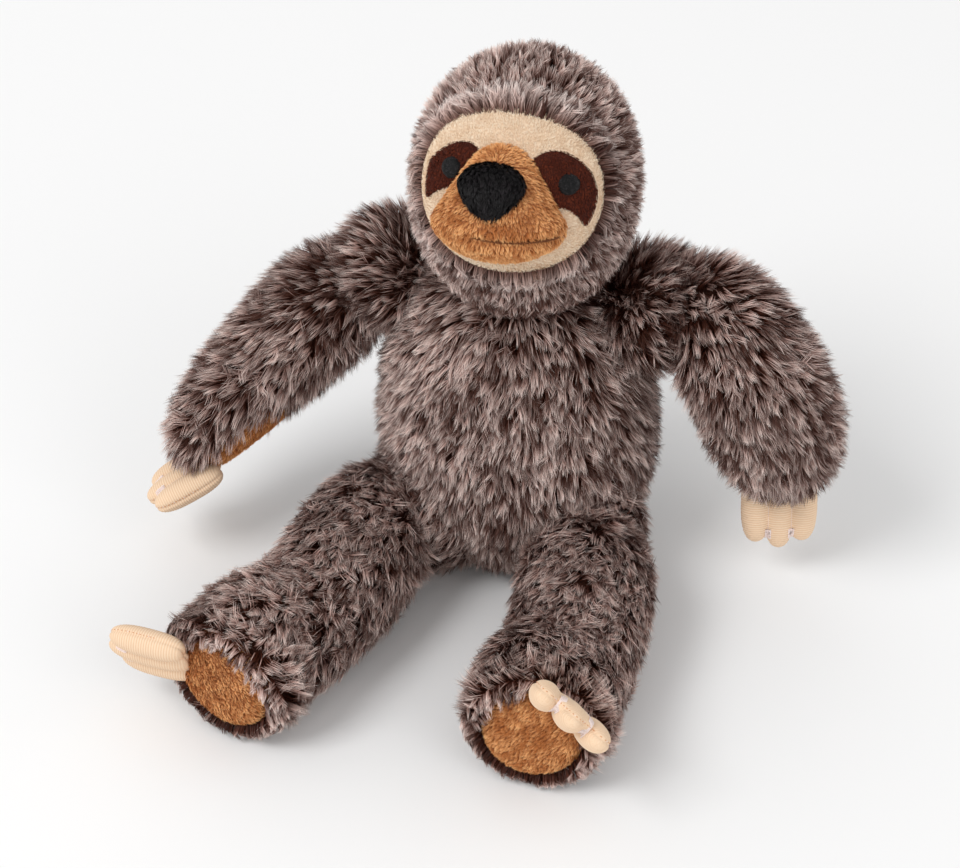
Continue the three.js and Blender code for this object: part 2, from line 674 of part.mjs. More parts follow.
/** A stuffed limb. Its form ends where the torso would meet it in some position of its joint, and a
 *  ball closes it, which sits in the torso. It is hollow and open towards the torso. */
function stuffedLimb(form, pivot, diameter, inTheWay, reach) {
  const bodyAt = (depth, formFacets, ballFacets) => (
    clearedOf(form(-depth, formFacets), inTheWay(depth), pivot, SWING, reach)
      .add(ball(pivot, diameter - 2 * depth, ballFacets)));
  const outside = bodyAt(0, LIMB_FACETS, BALL_FACETS).subtract(floor);
  const cavity = mainPiece(bodyAt(COVER_THICKNESS, INNER_FACETS, INNER_FACETS));
  const inward = SIDE.clone().multiplyScalar(-Math.sign(pivot.x));
  const opening = openingAlong(pivot, inward, LIMB_OPENING, diameter);
  return {
    cover: mainPiece(outside.subtract(cavity).subtract(opening)),
    fill: mainPiece(bodyAt(COVER_THICKNESS + 2 * SEAM_GAP, INNER_FACETS, INNER_FACETS).intersect(cavity)),
  };
}

/** The patch of a palm or sole, kept clear of the mitt beside it in every position of that mitt. */
function limbPatch(form, prism, mitt) {
  const patch = patchOn(form, prism, PATCH_THICKNESS);
  const [low, high] = mitt.reach;
  return mainPiece(clearedOf(patch, mittForm(mitt, 2 * SEAM_GAP), mitt.root, mitt.axis, [-high, -low]));
}

function buildArm(arm) {
  const { pivot, route } = armRoute(arm);
  const form = (grow, facets) => armForm(arm, grow, facets);
  const { cover, fill } = stuffedLimb(form, pivot, SHOULDER_BALL, torsoInTheWay, ARM_SWING_REACH);
  const group = groupAt(pivot);
  addPiece(group, `arm_${arm.name}_cover`, cover, materials.darkFur);
  addPiece(group, `arm_${arm.name}_fill`, fill, materials.fibre);
  const mitt = handMitt(arm);
  buildMitt(group, `hand_${arm.name}`, form(SEAM_GAP), mitt);
  const back = route.getTangentAt(1).negate();
  const out = new THREE.Vector3(...arm.palm);
  out.addScaledVector(back, -out.dot(back)).normalize();
  const place = route.getPointAt(1).addScaledVector(back, PALM_BACK);
  const prism = prismOn(ovalOutline(PALM_WIDTH, PALM_LENGTH), place, back.clone().cross(out), back, ARM_DEPTH);
  addPiece(group, `palm_${arm.name}`, limbPatch(form, prism, mitt), materials.tan);
}

function buildLeg(leg) {
  const { pivot } = legRoute(leg);
  const form = (grow, facets) => legForm(leg, grow, facets);
  const inTheWay = (depth) => torsoInTheWay(depth).add(sideBlock(-leg.side, depth));
  const { cover, fill } = stuffedLimb(form, pivot, HIP_BALL, inTheWay, LEG_LIFT_REACH);
  const group = groupAt(pivot);
  addPiece(group, `leg_${leg.name}_cover`, cover, materials.darkFur);
  addPiece(group, `leg_${leg.name}_fill`, fill, materials.fibre);
  const mitt = footMitt(leg);
  buildMitt(group, `foot_${leg.name}`, form(SEAM_GAP), mitt);
  const { place, out, toe } = soleFrame(leg);
  place.addScaledVector(out, -SOLE_LENGTH / 2);
  const prism = prismOn(ovalOutline(SOLE_WIDTH, SOLE_LENGTH), place, toe.clone().cross(out), toe, SOLE_LENGTH);
  addPiece(group, `sole_${leg.name}`, limbPatch(form, prism, mitt), materials.tan);
}

buildTorso();
buildFace(buildHead());
for (const arm of arms) buildArm(arm);
for (const leg of legs) buildLeg(leg);

export default sloth;
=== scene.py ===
"""A long-haired plush sloth that sits on the floor. Sizes are in millimetres until a mesh is made."""

import math

import bpy
import numpy as np
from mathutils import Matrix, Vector, noise
from mathutils.bvhtree import BVHTree
from mathutils.kdtree import KDTree


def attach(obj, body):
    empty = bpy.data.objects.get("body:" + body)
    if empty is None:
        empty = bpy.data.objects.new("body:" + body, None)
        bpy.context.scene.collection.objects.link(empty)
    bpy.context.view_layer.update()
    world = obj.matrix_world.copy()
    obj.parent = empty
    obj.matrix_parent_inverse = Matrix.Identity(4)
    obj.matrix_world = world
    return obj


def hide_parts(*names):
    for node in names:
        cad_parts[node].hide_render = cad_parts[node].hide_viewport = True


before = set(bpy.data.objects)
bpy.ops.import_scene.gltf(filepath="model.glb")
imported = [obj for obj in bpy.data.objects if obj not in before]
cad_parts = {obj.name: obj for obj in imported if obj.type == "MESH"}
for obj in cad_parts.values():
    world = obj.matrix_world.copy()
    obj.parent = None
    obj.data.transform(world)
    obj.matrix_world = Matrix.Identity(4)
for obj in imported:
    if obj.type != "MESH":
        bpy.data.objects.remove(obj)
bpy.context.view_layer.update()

MM = 0.001
SEED = 20261
rng = np.random.default_rng(SEED)
noise.seed_set(SEED)  # without it the vector noise starts from the clock, and each run differs
UV_NAME = "OFBake"  # the exporter keeps a UV map of this name
UP = np.array([0.0, 0.0, 1.0])
BACK = np.array([0.0, 1.0, 0.0])

# The camera of the photograph
CAMERA_TARGET = np.array([-22.4, 21.0, 31.4])
CAMERA_AZIMUTH = 16
CAMERA_ELEVATION = 40
CAMERA_DISTANCE = 1150
CAMERA_LENS, CAMERA_SENSOR = 100.3, 36

# The light and the floor
KEY_LIGHT = dict(power=62, size=1.6, place=(-1.5, -1.9, 3.0))
FILL_LIGHT = dict(power=16, size=2.0, place=(2.4, -1.6, 2.0))
LIGHTS_TARGET = (0, -0.02, 0.1)
WORLD_STRENGTH = 0.72
FLOOR_TONE, FLOOR_REACH, FLOOR_DROP = 0.9, 4, 0.0006

# How far the cloth lies inside the solids, which are drawn at the middle of the hair
SKIN_DEPTH = 5.0
FLOOR_CLEARANCE = 0.4
RAY_START = 60.0  # how far outside a surface a ray starts that looks for it

# The fur: its length, its hairs in a square millimetre, and how deep a root may lie in another piece
HAIR_LENGTH, DENSITY, BURIED = 12.5, 2.7, 4.0
HAIR_SHARE = 1.0
# A share of hairs painted paler by a tone: painted glints of glossy fibres
PAINTED_GLINT_SHARE, PAINTED_GLINT_TONE = 0.07, 0.4

# How tufts and hairs vary: angles in degrees, lengths and widths as shares
TURN_PATCH = 14.0  # the size of a patch in which tufts turn the same way
TONE_PATCHES = ((1.1, 4.2, 61, 0), (0.35, 24.0, 53, 1))  # strength, size, seed and axis of the noise
TUFT_LEAN, TUFT_LENGTHS, TUFT_PULL, MIDDLE_PULL = 11, (0.85, 1.15), (0.65, 1.15), 0.45
HAIR_TURN, HAIR_LEAN_LOW, HAIR_LEAN_HIGH, HAIR_ROLL = 0.22, 8, 10, 0.9
HAIR_LENGTHS, HAIR_WIDTHS, ROOT_WIDTH, MIDDLE_WIDTH = (0.7, 1.08), (0.75, 1.25), 0.8, 1.1
UPRIGHT_SHARE = 0.8  # how much of its lean a hair loses that stands
FLOOR_SCATTER = 0.8
TONE_LOW, TONE_HIGH, TONE_EDGE = 0.02, 0.98, 0.01  # the tones of hairs, and how far a blade reaches beside its own

# The knit's ribs, and the length that one unit of its UV map stands for
RIB_PITCH, RIB_SPAN = 1.05, 40.0

# The sizes of the solids
TORSO_HEIGHT, TORSO_WIDTH, TORSO_DEPTH = 154, 112, 92
TORSO_WIDTH_SHARES = [0.9, 0.98, 1, 0.96, 0.86, 0.74]
TORSO_DEPTH_SHARES = [0.92, 1, 1, 0.97, 0.93, 0.9]
HEAD_WIDTH, HEAD_DEPTH, HEAD_HEIGHT, HEAD_TOP, HEAD_ASIDE = 88, 94, 108, 234, 2
FACE_PITCH, FACE_YAW = 28, 7
ARM_LENGTH, ARM_WIDTH, ARM_DEPTH = 130, 52, 50
SHOULDER_SPREAD, SHOULDER_BACK, SHOULDER_HEIGHT, SHOULDER_BALL = 108, 4, 127, 48
LEG_LENGTH, LEG_WIDTH, HIP_SPREAD, HIP_FORWARD, HIP_BALL = 132, 60, 60, 22, 58
LEG_WIDTH_SHARES = [1, 0.98, 0.92, 0.88, 0.97, 1.07]
REST_FLAT = 0.5
SEAT_SINK = 2.5
CLAWS, CLAW_LENGTH, CLAW_MIDDLE_EXTRA, CLAW_WIDTH, CLAW_THICKNESS = 3, 31, 3, 11.5, 9
CLAW_PITCH, CLAW_SINK = 9.6, 6
WEB_LENGTH_SHARE, WEB_HALF_SHARE, CLAW_RAY = 0.97, 0.4, 30
KNIT_VOXEL, KNIT_ROUNDS, KNIT_SWELL, RIB_RISE, EDGE_DEPTH, EDGE_WIDTH = 0.42, 9, 0.25, 0.1, 0.5, 0.7
FINGER_PADDING = 0.3, 0.8  # across the finger and through it
RIM_MIDDLE, RIM_TURN, RIM_STEP, RIM_HEIGHT = 14, 104, 2.6, 0.6
LINE_FROM, LINE_TO, LINE_PLACES = 0.28, 0.9, 22
MOUTH_LIFT, RIM_LIFT, LINE_LIFT, TACK_LIFT = 0.9, 0.08, 0.04, 0.2  # of a thread off the cloth under it
STITCH_SHARE, LONG_STITCH_SHARE = 0.7, 0.75  # how much of a line is thread
TACK_LENGTH, TACK_BACK, TACK_THREADS, TACK_PITCH, TACK_END = 5, 1.5, 5, 0.5, 0.3
SOLE_WIDTH, SOLE_LENGTH, SOLE_DROP = 38, 42, 4
PALM_WIDTH, PALM_LENGTH, PALM_BACK = 22, 42, 24
PANEL = dict(forward=32, rise=3, width=68, height=65, puff=48, width_shares=[1, 1], puff_shares=[1, 1],
             blunt=(2.1, 2.1), sides=96, rings=72, aside=1)
MUZZLE = dict(forward=54, rise=-1.5, width=52, height=42, puff=37, width_shares=[0.54, 0.6, 0.78, 1, 0.96],
              puff_shares=[0.5, 0.74, 0.94, 1, 0.84], blunt=(2.2, 2.2), sides=120, rings=100, aside=-0.9)
NOSE = dict(forward=68, rise=4, width=24, height=20, puff=15, width_shares=[0.9, 1, 0.8, 0.55],
            puff_shares=[1, 1, 0.9, 0.8], blunt=(2.6, 2.2), sides=40, rings=32, aside=-2.7)
MOUTH_ASIDE, MOUTH_HALF, MOUTH_HEIGHT, MOUTH_CURVE, MOUTH_TILT = 7.7, 15.75, -13.4, 1.6, 1
MOUTH_DEPTH, MOUTH_WIDTH = 1.5, 1.6
LIP_RISE, LIP_AWAY, LIP_WIDTH = 0.6, 4.5, 2.4
EYE_SPREAD, EYE_ASIDE, EYE_HEIGHT, EYE_TILT, EYE_SIZE = 21.6, 1.7, 8.5, 1.2, 8
EYE_ROWS, EYE_ROW_PITCH, EYE_ROW_REACH, EYE_ROW_LEAST = 19, 0.43, 4.2, 0.6
EYE_ROW_WAVER, EYE_ROW_LIFTS = 0.05, (0.02, 0.14)
PATCH_WIDTH, PATCH_HEIGHT = 25, 28
# The radii of the threads
MOUTH_THREAD, EYE_THREAD, EDGE_THREAD, LINE_THREAD, TACK_THREAD = 0.75, 0.27, 0.2, 0.19, 0.33

ARMS = {
    "left": dict(
        side=1, tilt=1.5, shade=0.36,
        route=[(0, 0, 0), (0.16, -0.02, 0.03), (0.31, -0.05, -0.12), (0.37, -0.04, -0.25),
               (0.41, -0.02, -0.38), (0.43, 0.01, -0.51), (0.43, 0.03, -0.64)],
        widths=[0.94, 1, 1, 1, 1, 0.98, 0.9], depths=[0.96, 1, 0.98, 0.92, 0.84, 0.76, 0.7],
        palm=(-0.3, 0.95, 0), claws=(0.1, -0.27, -0.95), across=(0.95, 0.3, 0), claws_in=0.0,
    ),
    "right": dict(
        side=-1, tilt=-1.5, shade=0.46,
        route=[(0, 0, 0), (0.17, -0.07, -0.1), (0.32, -0.15, -0.26), (0.45, -0.23, -0.41),
               (0.53, -0.29, -0.52), (0.59, -0.34, -0.64)],
        widths=[0.94, 1, 1, 1, 1, 0.94], depths=[0.96, 0.98, 0.9, 0.8, 0.72, 0.66],
        palm=(0.88, -0.17, -0.23), claws=(-0.72, -0.45, -0.4), across=(0.4, -0.7, 0.2), claws_in=0.3,
    ),
}
LEGS = {
    "left": dict(
        side=1, route=[(0, 0), (0.09, -0.2), (0.12, -0.38), (0.13, -0.56), (0.11, -0.74), (0.11, -0.9)],
        sole=(0.05, -0.99, -0.05), toe=(0.62, 0.03, 0.76), claws=(0.27, -0.75, 0.66), across=(0.7, 0.1, -0.7),
        fan=0.12, web_back=1.5,
    ),
    "right": dict(
        side=-1, route=[(0, 0), (0.13, -0.15), (0.17, -0.35), (0.21, -0.55), (0.31, -0.77), (0.37, -0.95)],
        sole=(-0.2, -0.97, -0.08), toe=(-0.92, 0.14, 0.2), claws=(-1, 0.07, 0), across=(0.05, -0.4, 0.91),
    ),
}


# ---- curves and forms ----

def unit(v):
    v = np.asarray(v, float)
    length = np.linalg.norm(v, axis=-1, keepdims=True)
    return v / np.maximum(length, 1e-9)


def catmull(points, places):
    """The points at the given places, from 0 to 1, of a smooth curve through the given points."""
    pts = np.asarray(points, float)
    last = len(pts) - 1
    out = np.zeros((len(places), pts.shape[1]))
    for k, place in enumerate(places):
        i = min(int(place * last), last - 1)
        w = place * last - i
        p1, p2 = pts[i], pts[i + 1]
        p0 = pts[i - 1] if i > 0 else 2 * p1 - p2
        p3 = pts[i + 2] if i + 2 <= last else 2 * p2 - p1
        d0, d1, d2 = (max(np.linalg.norm(b - a), 0) ** 0.5 for a, b in ((p0, p1), (p1, p2), (p2, p3)))
        d1 = d1 if d1 > 1e-4 else 1
        d0 = d0 if d0 > 1e-4 else d1
        d2 = d2 if d2 > 1e-4 else d1
        t1 = ((p1 - p0) / d0 - (p2 - p0) / (d0 + d1) + (p2 - p1) / d1) * d1
        t2 = ((p2 - p1) / d1 - (p3 - p1) / (d1 + d2) + (p3 - p2) / d2) * d1
        out[k] = p1 + t1 * w + (3 * (p2 - p1) - 2 * t1 - t2) * w ** 2 + (2 * (p1 - p2) + t1 + t2) * w ** 3
    return out


def sizes_along(size, shares):
    """Half sizes along a route, as a smooth curve through shares of one size."""
    table = catmull([[s] for s in shares], np.linspace(0, 1, 200))[:, 0] * size / 2
    return lambda place: np.interp(place, np.linspace(0, 1, 200), table)


def at_each(value, places):
    """A number for each place, from one number or from a function of the places."""
    return value(places) if callable(value) else np.full(len(places), float(value))


def even_route(points):
    """A curve through the points, read at a share of its length: gives places and directions."""
    dense = catmull(points, np.linspace(0, 1, 400))
    steps = np.linalg.norm(np.diff(dense, axis=0), axis=1)
    length = np.concatenate([[0], np.cumsum(steps)])
    share = length / length[-1]
    tangent = unit(np.gradient(dense, axis=0))

    def read(place):
        at = np.stack([np.interp(place, share, dense[:, k]) for k in range(3)], -1)
        along = unit(np.stack([np.interp(place, share, tangent[:, k]) for k in range(3)], -1))
        return at, along

    return read


def merge(meshes):
    """One pair of points and faces from several."""
    points, faces, count = [], [], 0
    for more_points, more_faces in meshes:
        points.append(more_points)
        faces.append(np.asarray(more_faces) + count)
        count += len(more_points)
    return np.concatenate(points), np.concatenate(faces)


def strip(first, second, count):
    """The triangles between two rings of points, each given by its first point."""
    faces = []
    for k in range(count):
        j = (k + 1) % count
        faces += [(first + k, second + k, second + j), (first + k, second + j, first + j)]
    return faces


class Form:
    """A closed surface: points, triangles, normals, and the direction of its route at each point."""

    def __init__(self, points, faces, flow):
        self.points, self.faces, self.flow = points, faces, flow
        normals, crosses = np.zeros_like(points), self.crosses()
        for k in range(3):
            np.add.at(normals, faces[:, k], crosses)
        self.normals = unit(normals)

    def crosses(self):
        a, b, c = (self.points[self.faces[:, k]] for k in range(3))
        return np.cross(b - a, c - a)

    def areas(self):
        return np.linalg.norm(self.crosses(), axis=1) / 2

    def grown(self, step):
        """The surface moved outward by a step, which may differ from point to point."""
        return Form(self.points + self.normals * step, self.faces, self.flow)

    def tree(self):
        return BVHTree.FromPolygons([Vector(p) for p in self.points], [tuple(f) for f in self.faces.tolist()])

    def joined(self, other):
        points, faces = merge([(self.points, self.faces), (other.points, other.faces)])
        return Form(points, faces, np.concatenate([self.flow, other.flow]))


def stuffed_form(route, half_across, half_deep, deep_axis, blunt, sides, rings):
    """A stuffed form whose rings swell and taper along a route. Blunt gives how squarely each end closes."""
    polar = np.linspace(0, np.pi, rings + 1)[1:-1]
    turn = np.arange(sides) / sides * 2 * np.pi
    y = np.concatenate([[1], np.repeat(np.cos(polar), sides), [-1]])
    ring = np.concatenate([[0], np.repeat(np.sin(polar), sides), [0]])
    around = np.concatenate([[0], np.tile(turn, rings - 1), [0]])
    x, z = ring * np.cos(around), ring * np.sin(around)
    square = np.where(y > 0, blunt[0], blunt[1])
    reach = np.sign(y) * np.abs(y) ** (2 / square)
    swell = np.where(ring > 1e-6, np.maximum(ring, 1e-6) ** (2 / square - 1), 0)
    place = np.clip((1 - reach) / 2, 0, 1)
    at, along = route(place)
    deep = unit(deep_axis - along * (along @ np.asarray(deep_axis, float))[:, None])
    across = np.cross(deep, along)
    points = (at + across * (x * swell * at_each(half_across, place))[:, None]
              + deep * (z * swell * at_each(half_deep, place))[:, None])
    faces = [(0, 1 + s, 1 + (s + 1) % sides) for s in range(sides)]
    for r in range(rings - 2):
        faces += strip(1 + r * sides, 1 + (r + 1) * sides, sides)
    end, last = len(points) - 1, 1 + (rings - 2) * sides
    faces += [(end, last + (s + 1) % sides, last + s) for s in range(sides)]
    form = Form(points, np.array(faces), along)
    outward = np.einsum("ij,ij->i", form.normals, points - at)
    return form if outward.mean() >= 0 else Form(points, form.faces[:, ::-1], along)


def ball_form(middle, diameter, flow_axis):
    half = flow_axis * diameter / 2
    return stuffed_form(even_route([middle - half, middle + half]), diameter / 2, diameter / 2, UP, (2, 2), 40, 24)


# ---- the toy's forms ----

torso_form = stuffed_form(
    even_route([(0, 0, -SEAT_SINK), (0, 0, TORSO_HEIGHT)]), sizes_along(TORSO_WIDTH, TORSO_WIDTH_SHARES),
    sizes_along(TORSO_DEPTH, TORSO_DEPTH_SHARES), BACK, (3, 2.6), 96, 72)
head_form = stuffed_form(
    even_route([(HEAD_ASIDE, 0, HEAD_TOP - HEAD_HEIGHT), (HEAD_ASIDE, 0, HEAD_TOP)]), HEAD_WIDTH / 2, HEAD_DEPTH / 2,
    BACK, (2.1, 2.2), 96, 72)
HEAD_MIDDLE = np.array([0, 0, HEAD_TOP - HEAD_HEIGHT / 2])


def turn_about(axis, degrees):
    a = math.radians(degrees)
    x, y, z = axis
    c, s = math.cos(a), math.sin(a)
    skew = np.array([[0, -z, y], [z, 0, -x], [-y, x, 0]])
    return np.eye(3) * c + s * skew + (1 - c) * np.outer(axis, axis)


FACE_TURN = turn_about((0, 0, 1), FACE_YAW) @ turn_about((1, 0, 0), -FACE_PITCH)
FACE_X, FACE_Y, FACE_Z = FACE_TURN[:, 0], FACE_TURN[:, 1], FACE_TURN[:, 2]


def face_point(x, y, z):
    return HEAD_MIDDLE + FACE_TURN @ np.array([x, y, z], float)


def face_form(forward, rise, width, height, puff, width_shares, puff_shares, blunt, sides, rings, aside):
    route = even_route([face_point(aside, -forward, rise + height / 2),
                        face_point(aside, -forward, rise - height / 2)])
    return stuffed_form(route, sizes_along(width, width_shares), sizes_along(puff, puff_shares), -FACE_Y,
                        blunt, sides, rings)


def arm_pivot(arm):
    return np.array([arm["side"] * SHOULDER_SPREAD / 2, SHOULDER_BACK, SHOULDER_HEIGHT + arm["tilt"]])


def arm_route(arm):
    pivot = arm_pivot(arm)
    return even_route([pivot + ARM_LENGTH * np.array([arm["side"] * x, y, z]) for x, y, z in arm["route"]])


def arm_form(arm):
    return stuffed_form(arm_route(arm), sizes_along(ARM_WIDTH, arm["widths"]), sizes_along(ARM_DEPTH, arm["depths"]),
                        unit(arm["palm"]), (2.4, 3), 72, 96)


def leg_pivot(leg):
    return np.array([leg["side"] * HIP_SPREAD / 2, -HIP_FORWARD, HIP_BALL / 2 + 0.3])


def leg_route(leg):
    half = sizes_along(LEG_WIDTH, LEG_WIDTH_SHARES)
    last = len(leg["route"]) - 1
    return even_route([
        (leg["side"] * (HIP_SPREAD / 2 + x * LEG_LENGTH), y * LEG_LENGTH - HIP_FORWARD, half(i / last) - REST_FLAT)
        for i, (x, y) in enumerate(leg["route"])])


def leg_form(leg):
    half = sizes_along(LEG_WIDTH, LEG_WIDTH_SHARES)
    return stuffed_form(leg_route(leg), half, half, UP, (2.4, 5), 72, 96)


# ---- meshes ----

def add_object(name, data):
    obj = bpy.data.objects.new(name, data)
    bpy.context.scene.collection.objects.link(obj)
    return obj


def mesh_object(name, points, faces, material=None):
    mesh = bpy.data.meshes.new(name)
    mesh.from_pydata((np.asarray(points) * MM).tolist(), [], [tuple(f) for f in np.asarray(faces).tolist()])
    mesh.validate()
    mesh.polygons.foreach_set("use_smooth", [True] * len(mesh.polygons))
    if material is not None:
        mesh.materials.append(MATERIALS[material])
    return add_object(name, mesh)


def add_uv(mesh, corners):
    layer = mesh.uv_layers.new(name=UV_NAME)
    layer.uv.foreach_set("vector", corners.astype(np.float32).ravel())


def place_piece(obj, body, slot, *nodes, fill=None):
    """Lets a piece ride on a body and replace the nodes that it stands for."""
    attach(obj, body)
    if nodes:
        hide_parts(*nodes)


# ---- materials ----

def new_material(name, roughness=0.9):
    mat = bpy.data.materials.new(name)
    mat.use_nodes = True
    tree = mat.node_tree
    shader = tree.nodes["Principled BSDF"]
    shader.inputs["Roughness"].default_value = roughness
    shader.inputs["Specular IOR Level"].default_value = 0.25
    return mat, tree, shader


def linear(r, g, b):
    return tuple((c / 255 / 12.92 if c / 255 <= 0.04045 else ((c / 255 + 0.055) / 1.055) ** 2.4)
                 for c in (r, g, b)) + (1.0,)


def node(tree, kind, inputs=None, **values):
    """A new node. Each of the inputs is set to a value or joined to an output."""
    made = tree.nodes.new(kind)
    for key, value in values.items():
        setattr(made, key, value)
    for socket, value in (inputs or {}).items():
        if isinstance(value, bpy.types.NodeSocket):
            tree.links.new(value, made.inputs[socket])
        else:
            made.inputs[socket].default_value = value
    return made


def ramp_node(tree, stops, source):
    ramp = node(tree, "ShaderNodeValToRGB", {"Fac": source})
    elements = ramp.color_ramp.elements
    while len(elements) < len(stops):
        elements.new(0.5)
    for element, (position, colour) in zip(elements, stops):
        element.position = position
        element.color = linear(*colour)
    return ramp.outputs["Color"]


def tone_and_lift(tree, shader, stops, source, strength, height):
    """Colours a shader by one value, and raises its surface by the same value."""
    tree.links.new(ramp_node(tree, stops, source), shader.inputs["Base Color"])
    lift = node(tree, "ShaderNodeBump", {"Strength": strength, "Distance": height * MM, "Height": source})
    tree.links.new(lift.outputs["Normal"], shader.inputs["Normal"])


def fur_material(name, dark_stops, light_stops, roughness):
    """Hair whose colour depends on the place along the hair and on which hair it is."""
    mat, tree, shader = new_material(name, roughness)
    uv = node(tree, "ShaderNodeUVMap", uv_map=UV_NAME)
    split = node(tree, "ShaderNodeSeparateXYZ", {"Vector": uv.outputs["UV"]})
    dark, light = (ramp_node(tree, stops, split.outputs["Y"]) for stops in (dark_stops, light_stops))
    mix = node(tree, "ShaderNodeMix", {"Factor": split.outputs["X"], "A": dark, "B": light}, data_type="RGBA")
    tree.links.new(mix.outputs["Result"], shader.inputs["Base Color"])
    return mat


def cloth_material(name, colour, dark, light, scale, height, roughness=0.9):
    """Short pile or thread: a fine grain of three tones with a lift of its own."""
    mat, tree, shader = new_material(name, roughness)
    coords = node(tree, "ShaderNodeTexCoord")
    grain = node(tree, "ShaderNodeTexNoise",
                 {"Vector": coords.outputs["Object"], "Scale": scale, "Detail": 5, "Roughness": 0.7})
    tone_and_lift(tree, shader, [(0.3, dark), (0.5, colour), (0.72, light)], grain.outputs["Fac"], 0.6, height)
    return mat


def knit_material(name):
    """Ribbed knit: the UV runs along the finger, and each rib is painted pale on its crown and darker in its groove,
    as painted light and shade, mixed with the yarn's own grain.
    """
    mat, tree, shader = new_material(name, 0.85)
    uv = node(tree, "ShaderNodeUVMap", uv_map=UV_NAME).outputs["UV"]
    split = node(tree, "ShaderNodeSeparateXYZ", {"Vector": uv})
    turns = node(tree, "ShaderNodeMath", {0: split.outputs["Y"], 1: 2 * math.pi * RIB_SPAN / RIB_PITCH},
                 operation="MULTIPLY")
    wave = node(tree, "ShaderNodeMath", {0: turns.outputs[0]}, operation="SINE")
    rise = node(tree, "ShaderNodeMath", {0: wave.outputs[0], 1: 0.42, 2: 0.5}, operation="MULTIPLY_ADD")
    grain = node(tree, "ShaderNodeTexNoise", {"Vector": uv, "Scale": 160, "Detail": 4}).outputs["Fac"]
    ribs = node(tree, "ShaderNodeMix", {"Factor": 0.35, "A": rise.outputs[0], "B": grain}, data_type="FLOAT")
    ends = node(tree, "ShaderNodeAttribute", attribute_name="finger_end")
    tone = node(tree, "ShaderNodeMix", {"Factor": ends.outputs["Fac"], "A": ribs.outputs["Result"], "B": grain},
                data_type="FLOAT")
    # The ramp: painted shade in the grooves, painted light on the crowns
    tone_and_lift(tree, shader, [(0.1, (222, 183, 147)), (0.5, (236, 205, 173)), (0.9, (244, 220, 194))],
                  tone.outputs["Result"], 0.7, 0.15)
    return mat


# Colours from the root to the tip of a hair
DARK_HAIR = [(0.0, (62, 26, 14)), (0.5, (64, 28, 16)), (0.8, (76, 39, 26)), (1.0, (98, 62, 50))]
PALE_HAIR = [(0.0, (74, 33, 19)), (0.42, (88, 46, 32)), (0.62, (204, 167, 156)), (0.85, (250, 228, 219)),
             (1.0, (255, 244, 237))]
# Paler from the root than the pale hair: painted light that lifts the shade in the valley between the face panel and
# the fur
RIM_HAIR = [(0.0, (116, 80, 67)), (0.25, (168, 134, 123)), (0.6, (226, 200, 191)), (1.0, (253, 242, 236))]

MATERIALS = {
    "fur": fur_material("frosted_fur_hair", DARK_HAIR, PALE_HAIR, 0.45),
    "rim": fur_material("face_rim_hair", DARK_HAIR, RIM_HAIR, 0.45),
    "skin": cloth_material("fur_backing", (58, 29, 18), (40, 18, 10), (76, 42, 28), 900, 0.4),
    "cream": cloth_material("cream_velour", (230, 203, 174), (214, 184, 152), (242, 221, 197), 1400, 0.5),
    "tan": cloth_material("tan_velour", (184, 120, 76), (158, 97, 57), (206, 144, 98), 1400, 0.5),
    "russet": cloth_material("russet_velour", (70, 27, 15), (52, 18, 9), (90, 40, 25), 1400, 0.4),
    "black": cloth_material("black_backing", (16, 14, 16), (9, 8, 9), (24, 22, 25), 1200, 0.4),
    "knit": knit_material("claw_knit"),
    "thread": cloth_material("pale_thread", (243, 226, 220), (228, 196, 186), (250, 240, 236), 3000, 0.1, 0.6),
    "stitch": cloth_material("orange_stitch", (206, 140, 92), (180, 112, 66), (226, 170, 126), 3000, 0.1, 0.6),
    # The eye's pale specks are painted highlights on its thread
    "eye": cloth_material("eye_embroidery", (11, 10, 11), (5, 5, 6), (62, 59, 61), 1000, 0.5, 0.6),
    "seam": cloth_material("mouth_thread", (104, 60, 33), (80, 44, 22), (130, 80, 48), 2000, 0.2),
}

# Of each pile the name, the roughness, and the darkest and lightest hairs at their root, middle and tip
PILES = {
    "black_pile": ("black_nose_pile", 0.5, [(6, 4, 5), (13, 10, 11), (23, 20, 21)],
                   [(9, 7, 8), (24, 20, 22), (54, 48, 52)]),
    "cream_pile": ("cream_velour_pile", 0.8, [(214, 182, 148), (234, 208, 178), (243, 222, 196)],
                   [(228, 200, 168), (247, 228, 203), (253, 242, 225)]),
    "tan_pile": ("tan_velour_pile", 0.8, [(134, 70, 30), (190, 116, 62), (214, 144, 86)],
                 [(180, 110, 56), (242, 177, 114), (253, 210, 152)]),
    "russet_pile": ("russet_velour_pile", 0.8, [(48, 14, 5), (80, 26, 9), (98, 38, 16)],
                    [(62, 21, 8), (102, 40, 18), (126, 58, 34)]),
}
for key, (name, roughness, *colours) in PILES.items():
    MATERIALS[key] = fur_material(name, *(list(zip((0.0, 0.6, 1.0), tones)) for tones in colours), roughness)


# ---- hair ----

def sample_surface(form, count):
    """Places spread evenly over a form: their positions, normals and directions of flow."""
    areas = form.areas()
    chosen = rng.choice(len(areas), size=count, p=areas / areas.sum())
    u, v = rng.random(count), rng.random(count)
    flip = u + v > 1
    u[flip], v[flip] = 1 - u[flip], 1 - v[flip]
    weights = np.stack([1 - u - v, u, v], 1)[:, :, None]
    points, normals, flow = ((values[form.faces[chosen]] * weights).sum(1)
                             for values in (form.points, form.normals, form.flow))
    return points, unit(normals), unit(flow)


def depth_inside(points, tree, reach=60.0):
    """How deep each point lies inside a closed surface. Outside it the depth is negative."""
    out = np.full(len(points), -reach)
    for i, p in enumerate(points):
        near, normal, _, distance = tree.find_nearest(Vector(p), reach)
        if near is not None:
            out[i] = distance if (Vector(p) - near).dot(normal) < 0 else -distance
    return out


def tangent(direction, normal):
    """The direction laid along the surface."""
    return unit(direction - normal * np.einsum("ij,ij->i", direction, normal)[:, None])


